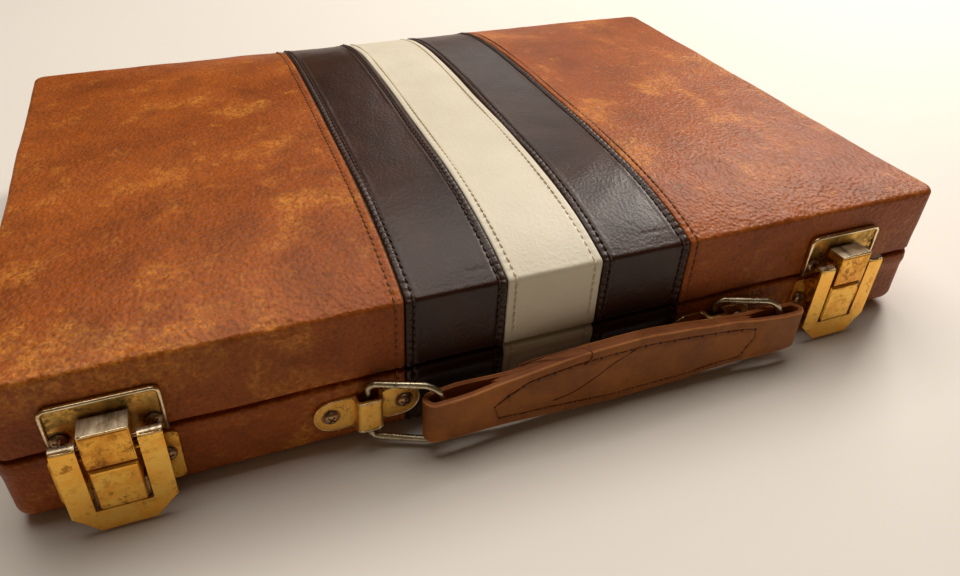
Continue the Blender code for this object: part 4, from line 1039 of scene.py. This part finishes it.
def make_screws():
    mesh = cross_head()
    random = np.random.default_rng(3)
    for kind, side, end in itertools.product(("keeper", "latch", "lug"), SIDES, "ab"):
        node, body = f"{kind}_screw_{side}_{end}", "lid" if kind == "keeper" else "base"
        low, high = box_mm(node)
        place = Vector(((low[0] + high[0]) / 2, low[1] + 1.62, (low[2] + high[2]) / 2))
        head = mesh.copy()
        head.transform(Matrix.Rotation(random.uniform(0, math.pi), 4, "Y"))
        head.transform(Matrix.Translation(place * MM))
        head.materials.clear()
        head.materials.append(FINISHES["screw"])
        head.polygons.foreach_set("use_smooth", np.full(len(head.polygons), True))
        obj = bpy.data.objects.new(f"{node}_head", head)
        bpy.context.scene.collection.objects.link(obj)
        modify(obj, "WEIGHTED_NORMAL", keep_sharp=False)
        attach(obj, body)
        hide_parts(node)


def make_lug(side):
    node = f"handle_lug_{side}"
    finish_node(node, "brass", 0.25, 3)
    low, high = box_mm(node)
    x, z = (low[0] + high[0]) / 2, (low[2] + high[2]) / 2
    radius = (high[2] - low[2]) / 2 - 0.35
    y = -CASE_Y - PLATE_THICKNESS - 0.02
    for sign, word in ((-1, "a"), (1, "b")):
        end = x + sign * ((high[0] - low[0]) / 2 - 0.35 - radius)
        start = -90 if sign > 0 else 270
        inner = x + sign * 6.2
        path = [(inner, z - radius), *arc((end, z), radius, start, 90, 12), (inner, z + radius)]
        bead(f"lug_rim_{side}_{word}", path, y, 0.26, "rim", "base", closed=False)
        # The dark washer ring round each screw.
        circle = arc((centre_x(f"lug_screw_{side}_{word}"), z), 3.35, 0, 360, 32)[:-1]
        bead(f"lug_washer_{side}_{word}", circle, y + 0.05, 0.3, "screw", "base")
    # The pressed ribs along the bridge's edges: distance from the middle, and height off the case.
    bridge = [(6.4, 1.3), (5.6, 1.55), (5.05, 2.5), (5.0, 3.9), (4.4, 5.3), (3.0, 5.9)]
    bridge = [(-u, d) for u, d in bridge] + [(0, 5.92)] + bridge[::-1]
    for rib_z, word in ((low[2] + 0.5, "low"), (high[2] - 0.5, "high")):
        rib = tube([(x + u, -CASE_Y - d, rib_z) for u, d in bridge], 0.36, 8)
        solid(f"lug_rib_{side}_{word}", rib, "rim", "base", "brass")


def make_ring(side):
    """The D-ring: a straight bar in its lug, and a round far side in the strap."""
    low, high = box_mm(f"handle_ring_{side}")
    joint = next(j for j in frame["joints"] if j["name"] == f"ring_{side}_swing")
    start = np.array(joint["pos_m"]) / MM
    reach = np.array([high[0] - RING_WIRE - start[0], low[1] + RING_WIRE - start[1], 0])
    along = reach / np.linalg.norm(reach)
    length, half, near, far = 27.4, 13.0, 3.0, 7.0
    flat = arc((near, near - half), near, 180, 270, 8) + arc((length - far, far - half), far, 270, 360, 8)
    flat += arc((length - far, half - far), far, 0, 90, 8) + arc((near, half - near), near, 90, 180, 8)
    # The long sides are bowed outwards.
    path = []
    for u, v in flat:
        bow = math.copysign(1.3, v) * math.sin(math.pi * np.clip(u / length, 0, 1))
        path.append(start + along * u + (0, 0, v + bow))
    mesh = tube(path, RING_WIRE, 16, True, 1.0, np.cross(along, (0, 0, 1)))
    obj = solid(f"handle_ring_{side}_wire", mesh, "ring", f"ring_{side}", "ring_metal")
    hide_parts(f"handle_ring_{side}")


# ---------------------------------------------------------------- handle


STRAP_LAYER = 2.2
STRAP_HOLLOW = 2.2
STRAP_DRAW = 1.7


def strap_limits(x):
    """The strap's lower and upper edges at that X."""
    low, high = box_mm("handle_strap")
    share = np.clip(2 * (x - low[0]) / (high[0] - low[0]) - 1, -1, 1)
    swell = (1 + np.cos(math.pi * share)) / 2
    arch = high[2] - 27.5
    belly = 8.5 - low[2]
    return 8.5 - belly * swell, 27.5 + arch * swell


def strap_drawn(x):
    """How far each layer is drawn in towards the middle plane at that X."""
    low, high = box_mm("handle_strap")
    reach = STRAP_HOLLOW + STRAP_LAYER
    share = np.clip((np.minimum(x - low[0], high[0] - x) - reach - 5) / 28, 0, 1)
    return STRAP_DRAW * share * share * (3 - 2 * share)


def strap_wave(x):
    """The handle's hand-worn sway in and out."""
    return 0.3 * np.sin(x / 19.0) + 0.12 * np.sin(x / 6.1 + 1)


def thread_line():
    """The sewn outline on the handle's face: X and Z, and the distance along it."""
    low, high = box_mm("handle_strap")
    left, right = low[0] + 27.0, high[0] - 24.5
    tops = np.arange(left + 14, right - 1, 2.0)
    bottoms = np.arange(right - 5, left + 1, -2.0)
    outline = [(left, strap_limits(left)[0] + 10.5), (left + 5.5, strap_limits(left)[1] - 7.5)]
    outline += [(u, strap_limits(u)[1] - 4.6) for u in tops]
    outline += [(right, strap_limits(right)[1] - 9.0)]
    outline += [(u, strap_limits(u)[0] + 2.4 + 1.8 * (right - u) / (right - left)) for u in bottoms]
    outline = np.array([*outline, outline[0]])
    distance = np.concatenate([[0], np.cumsum(np.linalg.norm(np.diff(outline, axis=0), axis=1))])
    fine = np.linspace(0, distance[-1], 700)
    return np.column_stack([np.interp(fine, distance, outline[:, i]) for i in (0, 1)]), fine


def groove(x, z):
    """How deep the thread has drawn into the leather at those places."""
    line, _ = thread_line()
    near = np.array([np.min(np.hypot(line[:, 0] - a, line[:, 1] - b)) for a, b in zip(x, z)])
    return 0.42 * np.exp(-((near / 0.75) ** 2)) - 0.16 * np.exp(-(((near - 2.0) / 1.0) ** 2))


def make_strap():
    low, high = box_mm("handle_strap")
    centre_y = (low[1] + high[1]) / 2
    radius = STRAP_HOLLOW + STRAP_LAYER / 2
    centres = (low[0] + STRAP_HOLLOW + STRAP_LAYER, high[0] - STRAP_HOLLOW - STRAP_LAYER)
    # The line of the leather seen from above: front layer, right loop, back layer, left loop.
    plan = []
    for sign, start, end in ((1, *centres), (-1, *reversed(centres))):
        plan += [(u, centre_y - sign * radius) for u in np.linspace(start, end, 200)]
        for a in np.radians(np.linspace(0, 180, 21)[1:-1]):
            plan.append((end + sign * radius * math.sin(a), centre_y - sign * radius * math.cos(a)))
    plan = np.array(plan)
    x = plan[:, 0]
    front = plan[:, 1] < centre_y
    plan[:, 1] += np.where(front, 1, -1) * strap_drawn(x) + strap_wave(x)
    tangent = np.roll(plan, -1, 0) - np.roll(plan, 1, 0)
    tangent /= np.linalg.norm(tangent, axis=1, keepdims=True)
    outward = np.column_stack([tangent[:, 1], -tangent[:, 0]])
    half = STRAP_LAYER / 2
    # One section of a layer: worn round outside, nearly square inside, with rows up both faces.
    section = []
    corners = (half, -1, 0.7, -90), (half, 1, 0.7, 0), (-half, 1, 0.2, 90), (-half, -1, 0.2, 180)
    for u, v, edge, begin in corners:
        for angle in np.radians(np.linspace(begin, begin + 90, 6)):
            out = u - math.copysign(edge, u) + edge * math.cos(angle)
            section.append((out, v, edge * math.sin(angle) - v * edge))
    full, kinds = [], []
    for k, (u, v, w) in enumerate(section):
        full.append((u, v, w))
        following = section[(k + 1) % len(section)]
        if v == following[1]:
            # Faces on the outer rounding take the lighter rim leather, a painted highlight.
            worn = u > 0 and following[0] > 0 and k % 6 > 0
            kinds.append(2 if worn else 1 if abs(u + following[0]) < 1.4 else 0)
            continue
        rows = 34 if u > 0 else 8
        kinds += [0] * rows
        for share in np.linspace(0, 1, rows + 1)[1:-1]:
            full.append((u, v + (following[1] - v) * share, w + (following[2] - w) * share))
    bottoms, tops = strap_limits(x)
    # The inner leaf's upper edge has gone wavy where it stands free of the outer one.
    tops = tops + np.where(front, 0, 0.7 * np.sin(x / 6.5) * (1 - strap_drawn(x) / STRAP_DRAW))
    full = np.array(full)
    middle, tall = (bottoms + tops) / 2, (tops - bottoms) / 2
    places = np.empty((len(plan), len(full), 3))
    places[:, :, :2] = plan[:, None] + outward[:, None] * full[None, :, :1]
    places[:, :, 2] = middle[:, None] + full[None, :, 1] * tall[:, None] + full[None, :, 2]
    on_face = (full[:, 0] > half - 0.01)[None, :] & (np.abs(plan[:, 1] - centre_y) < radius + 1)[:, None]
    shift = np.zeros(places.shape[:2])
    shift[on_face] = groove(places[on_face][:, 0], places[on_face][:, 2])
    places[:, :, :2] -= outward[:, None] * shift[:, :, None]
    count, sides = places.shape[:2]
    faces = [(a, d, c, b) for a, b, c, d in strips(count, sides, closed=True)]
    points = places.reshape(-1, 3)
    points += 0.1 * waves(points, 71, 16)[:, None] * np.array([0, 1, 0.6])
    obj = shown(
        "handle_strap_leather", points, faces, "strap", "handle", "handle_leather",
        finishes=("strap_edge", "strap_rim_highlight"), face_finish=kinds * count,
    )
    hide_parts("handle_strap")
    obj.data.validate()
    make_filler(centres, centre_y, radius - half)


def make_filler(centres, centre_y, clear):
    """The filler between the layers, feathered to a point at each end, its edges flush with theirs."""
    xs = np.linspace(centres[0] + 22, centres[1] - 22, 150)
    gap = clear - strap_drawn(xs) + 0.15
    thick = np.minimum(gap, np.clip(np.minimum(xs - xs[0], xs[-1] - xs) / 9, 0.05, 1) * 2.4)
    bottoms, tops = strap_limits(xs)
    points = []
    ring_shape = [(-1, -1), (-1, 1), (-0.6, 1.008), (0, 1.012), (0.6, 1.008)]
    ring_shape += [(-v, -w) for v, w in ring_shape]
    for u, t, b, c in zip(xs, thick, bottoms + 0.15, tops - 0.15):
        for v, w in ring_shape:
            points.append((u, centre_y + strap_wave(u) + v * t, (b + c) / 2 + w * (c - b) / 2))
    sides = len(ring_shape)
    faces = [(a, d, c, b) for a, b, c, d in strips(len(xs), sides)]
    faces += [face[::-1] for face in caps(len(xs), sides)]
    solid("handle_filler", (points, faces), "strap_edge", "handle", "handle_leather")


def make_handle_stitching():
    """The sewn outline on both faces: punched holes along the top, each a dark disc of painted shade, thread drawn
    into a groove.
    """
    centre_y = sum(box_mm("handle_strap"))[1] / 2
    reach = STRAP_HOLLOW + STRAP_LAYER

    def face(x, sign, lift=0.0):
        return centre_y + strap_wave(x) + sign * (reach - strap_drawn(x) + lift)

    line, distance = thread_line()
    pitch = 6.6
    corners = np.linspace(0, 2 * math.pi, 13)[:-1]
    stops = np.arange(0, distance[-1] - pitch / 2, pitch)
    random = np.random.default_rng(9)
    for word, sign in (("front", -1), ("back", 1)):
        threads, holes = [], []
        for s in stops:
            wobble = random.uniform(-0.2, 0.2)
            path = []
            for i, lift in enumerate((-0.75, -0.35, -0.18, -0.12, -0.12, -0.18, -0.35, -0.75)):
                at = s + 0.5 + (pitch - 1.0) * i / 7
                u, w = (np.interp(at, distance, line[:, axis]) for axis in (0, 1))
                path.append((u, face(u, sign, lift), w + wobble * math.sin(math.pi * i / 7)))
            threads.append(tube(path, 0.26, 6, False, 0.9, (0, 1, 0)))
            u, w = (np.interp(s, distance, line[:, axis]) for axis in (0, 1))
            # A near-black disc over each hole: painted shade standing in for the hole's dark inside.
            size = 0.72 if w > 18 else 0.4
            disc = [
                (u + r * size * math.cos(a), face(u, sign, d), w + r * size * math.sin(a))
                for r, d in ((1.0, -0.8), (1.0, -0.04), (0.6, 0.03)) for a in corners
            ]
            disc.append((u, face(u, sign, 0.04), w))
            fan = [(24 + k, 24 + (k + 1) % 12, 36) for k in range(12)]
            holes.append((disc, [*strips(3, 12), *fan, caps(3, 12)[0]]))
        solid(f"handle_thread_{word}", joined(threads), "strap_thread", "handle", "handle_leather", 0.001)
        solid(f"handle_hole_shade_{word}", joined(holes), "dark_thread", "handle", "handle_leather", 0.001)
    # A loose thread looped over the upper edge, and one hanging across the face.
    back, front = face(0, 1), face(12, -1)
    loop = [
        (-14, back - 0.6, 30.9), (-8, back - 0.4, 32.0), (-1, centre_y + 0.5, 33.6),
        (5, centre_y - 0.6, 35.6), (10, front + 1.2, 36.0), (13.2, front - 0.3, 34.6),
        (14.4, front - 0.8, 32.0), (13.8, front - 0.5, 29.4), (12.2, front - 0.1, 27.6),
        (11.4, front + 0.4, 27.0),
    ]
    route = ((34, 28.6), (30, 26.6), (24, 23.8), (18, 19.4), (12, 15.6), (6, 13.2), (0, 12.6))
    trail = [(u, face(u, -1, 0.12 + 0.1 * math.sin(u)), w) for u, w in route]
    parts = []
    for path, size in ((loop, 0.3), (trail, 0.24)):
        path = np.array(path)
        share = np.linspace(0, 1, len(path))
        fine = np.linspace(0, 1, 46)
        smooth = np.column_stack([np.interp(fine, share, path[:, axis]) for axis in range(3)])
        for _ in range(6):
            smooth[1:-1] = (smooth[:-2] + 2 * smooth[1:-1] + smooth[2:]) / 4
        parts.append(wire(smooth, size, 6))
    solid("handle_loose_threads", joined(parts), "strap_thread", "handle", "handle_leather", 0.001)


# ---------------------------------------------------------------- inside


def make_board(half):
    """The felt field with its twelve points, in raised felt."""
    node = f"{half}_playing_field"
    low, high = box_mm(node)
    up = 1 if half == "base" else -1
    face = high[2] if up > 0 else low[2]
    finish_node(node, "field", 0.3)
    divider = f"{half}_tray_divider"
    finish_node(divider, "wood", 0.8, 3)
    near = box_mm(divider)[1][1] + 0.6
    far = high[1] - 0.6
    pitch = (far - near) / 6
    length = 146.0
    for shade, offset in (("light", 0), ("dark", 1)):
        parts = []
        for end in (-1, 1):
            for k in range(6):
                if (k + offset + (end > 0)) % 2:
                    continue
                centre = near + (k + 0.5) * pitch
                wide = pitch / 2 - 0.8
                tip = end * (high[0] - 1 - length)
                base_x = end * (high[0] - 1)
                points = []
                for share in np.linspace(0, 1, 13):
                    u, w = base_x + (tip - base_x) * share, max(wide * (1 - share) ** 0.96, 0.25)
                    for v, lift in ((-1, -0.2), (-1, 0.32), (-0.8, 0.5), (0.8, 0.5), (1, 0.32), (1, -0.2)):
                        points.append((u, centre + v * w, face + up * lift))
                parts.append((points, strips(13, 6) + [end_face[::-1] for end_face in caps(13, 6)]))
        name = f"{half}_{shade}_points"
        solid(name, joined(parts), f"{shade}_point", half, "field", 0.001, smooth=False)


def make_checkers(shade):
    """Fifteen separate checkers on edge, each with a raised rim and a turned face."""
    node = f"checker_stack_{shade}"
    low, high = box_mm(node)
    count = 15
    pitch = (high[0] - low[0]) / count
    radius = (high[2] - low[2]) / 2
    centre = ((low[1] + high[1]) / 2, (low[2] + high[2]) / 2)
    half = pitch / 2 - 0.06
    r = radius - 0.1
    # The turned face and the raised rim: distance from the axis, and depth below the rim.
    one_side = [(0.001, 0.9), (3.0, 0.9), (3.4, 0.5), (4.2, 0.5), (4.6, 0.9), (r * 0.62, 0.9)]
    one_side += [(r * 0.68, 0.35), (r * 0.74, 0), (r * 0.9, 0), (r * 0.965, 0.3), (r, 0.9)]
    one_side = [(a, half - depth) for a, depth in one_side]
    profile = [(a, -b) for a, b in one_side] + [(r, 0.0)] + [(a, b) for a, b in reversed(one_side)]
    parts = [turned(profile, 44, (low[0] + (i + 0.5) * pitch, *centre), "X") for i in range(count)]
    obj = solid(f"checkers_{shade}", joined(parts), f"{shade}_checker", "base", f"{shade}_checker", 0.01)
    modify(obj, "WEIGHTED_NORMAL", keep_sharp=False)
    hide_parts(node)


def make_cup(word):
    """A leather dice cup with a rolled rim, a stitched foot and a felt lining."""
    node = f"dice_cup_{word}"
    low, high = box_mm(node)
    centre = ((low[1] + high[1]) / 2, (low[2] + high[2]) / 2)
    radius, foot = (high[2] - low[2]) / 2 - 0.1, 17.0
    sign = 1 if word == "a" else -1
    start = low[0] if sign > 0 else high[0]
    long = high[0] - low[0]
    outer = [(0.001, 0.5), (foot - 2.4, 0.5), (foot - 1.8, 0.05), (foot - 0.6, 0.05)]
    outer += [(foot, 0.7), (foot + 0.1, 3.2), (foot - 0.25, 3.9), (foot + 0.05, 4.6)]
    outer += [(foot + 0.1 + (radius - foot - 0.5) * t, 4.6 + (long - 12) * t) for t in np.linspace(0.05, 1, 12)]
    rim = ((0.7, 6.6), (0.1, 5.6), (0, 2.0), (0.3, 0.6), (1.0, 0.05), (1.8, 0.4))
    outer += [(radius - inset, long - back) for inset, back in rim]
    leather = turned(outer, 64, (start, *centre), "X", sign)
    cup = solid(f"dice_cup_{word}_leather", leather, "strap", "base", "handle_leather", 0.01)
    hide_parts(node)
    inner = [(radius - 1.75, long - 0.45), (radius - 2.1, long - 1.4)]
    inner += [(radius - 2.2 + (foot - radius) * t, long - 2 + (4 - long + 2) * t) for t in np.linspace(0.05, 0.95, 9)]
    inner += [(foot - 3.2, 3.4), (foot - 5.0, 3.0), (0.001, 3.0)]
    lining = turned(inner, 64, (start, *centre), "X", sign)
    solid(f"dice_cup_{word}_lining", lining, "lining", "base", "handle_leather", 0.01)
    threads = []
    for k in range(36):
        turn = 2 * math.pi * k / 36
        for distance, r in ((long - 7.6, radius - 0.62), (5.6, foot + 0.2)):
            path = []
            for t, lift in zip(np.linspace(-0.055, 0.055, 5), (-0.3, 0.12, 0.2, 0.12, -0.3)):
                y = centre[0] + (r + lift) * math.cos(turn + t)
                path.append((start + sign * distance, y, centre[1] + (r + lift) * math.sin(turn + t)))
            threads.append(tube(path, 0.28, 6, up=(1, 0, 0)))
    solid(f"dice_cup_{word}_stitching", joined(threads), "cream_thread", "base", "handle_leather", 0.001)


def make_hinge():
    """The two leaves, their knuckles rolled from the leaf, and the pin."""
    pin = box_mm("hinge_pin")
    axis = ((pin[0][1] + pin[1][1]) / 2, (pin[0][2] + pin[1][2]) / 2)
    length = box_mm("hinge_leaf_base")[1][0] * 2
    for half, first in (("base", 0), ("lid", 1)):
        rail_top = box_mm("base_back_rail")[1][2]
        z0 = rail_top + 0.3 if half == "base" else box_mm("lid_back_rail")[0][2] - 1.3
        z1 = z0 + 1.0
        pitch = length / 11
        parts = []
        y0, y1 = box_mm(f"hinge_leaf_{half}")[0][1], CASE_Y - 0.1
        outline = [(y0, z0), (y1, z0), (y1, z1), (y0, z1)]
        xs = np.linspace(-length / 2, length / 2, 90)
        points = [(u, v, w) for u in xs for v, w in outline]
        parts.append((points, strips(len(xs), 4) + caps(len(xs), 4)))
        for i in range(first, 11, 2):
            start = -length / 2 + i * pitch + 0.2
            end = start + pitch - 0.4
            long = end - start
            profile = [(0.95, 0.0), (1.45, 0.0), (1.6, 0.15), (1.6, long - 0.15)]
            profile += [(1.45, long), (0.95, long), (0.95, 0.0)]
            parts.append(turned(profile, 28, (start, *axis), "X"))
            wz0, wz1 = (z0, min(z1, axis[1] - 0.95)) if half == "base" else (max(z0, axis[1] + 0.95), z1)
            section = ((CASE_Y - 1, wz0), (axis[0], wz0), (axis[0], wz1), (CASE_Y - 1, wz1))
            web = [(u, v, w) for u in (start, end) for v, w in section]
            parts.append((web, [(0, 1, 2, 3), (7, 6, 5, 4), (0, 4, 5, 1), (1, 5, 6, 2), (2, 6, 7, 3), (3, 7, 4, 0)]))
        obj = solid(f"hinge_leaf_{half}_brass", joined(parts), "brass", half, "brass", 0.001)
        soften(obj, 0.12)
        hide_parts(f"hinge_leaf_{half}")
    finish_node("hinge_pin", "screw", 0.1)


def make_carcass():
    for half in HALVES:
        for side in ("front", "back", "left", "right"):
            finish_node(f"{half}_{side}_rail", "wood", 0.5)
    finish_node("base_bottom_panel", "wood", 0.4)
    finish_node("lid_top_panel", "wood", 0.4)
    finish_node("base_bottom_sheet", "brown", 0.3)


# ---------------------------------------------------------------- stage


def area_light(name, place, target, size, energy, colour):
    light = bpy.data.lights.new(name, "AREA")
    light.shape = "RECTANGLE"
    light.size, light.size_y = size
    light.energy = energy
    light.color = colour
    obj = bpy.data.objects.new(name, light)
    obj.location = place
    obj.rotation_mode = "QUATERNION"
    obj.rotation_quaternion = (Vector(target) - Vector(place)).to_track_quat("-Z", "Y")
    bpy.context.scene.collection.objects.link(obj)
    return obj


def make_stage():
    mesh = bpy.data.meshes.new("floor")
    mesh.from_pydata([(-6, -6, 0), (6, -6, 0), (6, 6, 0), (-6, 6, 0)], [], [(0, 1, 2, 3)])
    floor = bpy.data.objects.new("floor", mesh)
    g = Graph("pale_floor")
    colour = g.mix(g.noise(3, 3), (0.80, 0.750, 0.685), (0.83, 0.780, 0.715))
    mesh.materials.append(g.finish(colour, g.scaled(g.noise(8, 3), 0.6, 0.7)))
    bpy.context.scene.collection.objects.link(floor)
    world = bpy.data.worlds.new("studio")
    world.use_nodes = True
    world.node_tree.nodes["Background"].inputs[0].default_value = (1.0, 0.74, 0.50, 1)
    world.node_tree.nodes["Background"].inputs[1].default_value = 0.062
    bpy.context.scene.world = world
    area_light("key", (1.0, 0.56, 0.88), (0.08, -0.05, 0.06), (0.42, 0.85), 12.5, (1.0, 0.93, 0.86))
    area_light("overhead", (0.0, 0.45, 1.5), (0, 0, 0.05), (1.5, 1.3), 20.5, (1.0, 0.95, 0.88))
    area_light("back_sheen", (0.55, 1.15, 0.52), (0.05, 0, 0.06), (0.5, 0.4), 1.0, (1.0, 0.95, 0.9))
    area_light("front_fill", (-0.7, -1.3, 0.75), (0, 0, 0.04), (0.8, 0.5), 0.22, (1.0, 0.62, 0.32))


def make_camera():
    data = bpy.data.cameras.new("camera")
    data.lens, data.sensor_width = 28.36, 36
    data.shift_x, data.shift_y = 0.0321, -0.0709
    data.clip_start, data.clip_end = 0.01, 50
    camera = bpy.data.objects.new("camera", data)
    forward = Vector((0.297, 0.785, -0.544)).normalized()
    right = Vector((0.940, -0.341, 0.021))
    right = (right - forward * right.dot(forward)).normalized()
    up = right.cross(forward)
    turn = Matrix((right, up, -forward)).transposed().to_4x4()
    camera.matrix_world = Matrix.Translation((-0.1127, -0.3207, 0.2286)) @ turn
    bpy.context.scene.collection.objects.link(camera)
    bpy.context.scene.camera = camera


make_stage()
make_camera()
bpy.context.scene.view_settings.view_transform = "Standard"
for half in HALVES:
    make_covering(half)
    make_stitches(half)
    make_board(half)
make_padding()
make_carcass()
make_hinge()
for side in SIDES:
    make_latch(side)
    make_lug(side)
    make_ring(side)
make_screws()
make_strap()
make_handle_stitching()
for shade in ("light", "dark"):
    make_checkers(shade)
for word in "ab":
    make_cup(word)
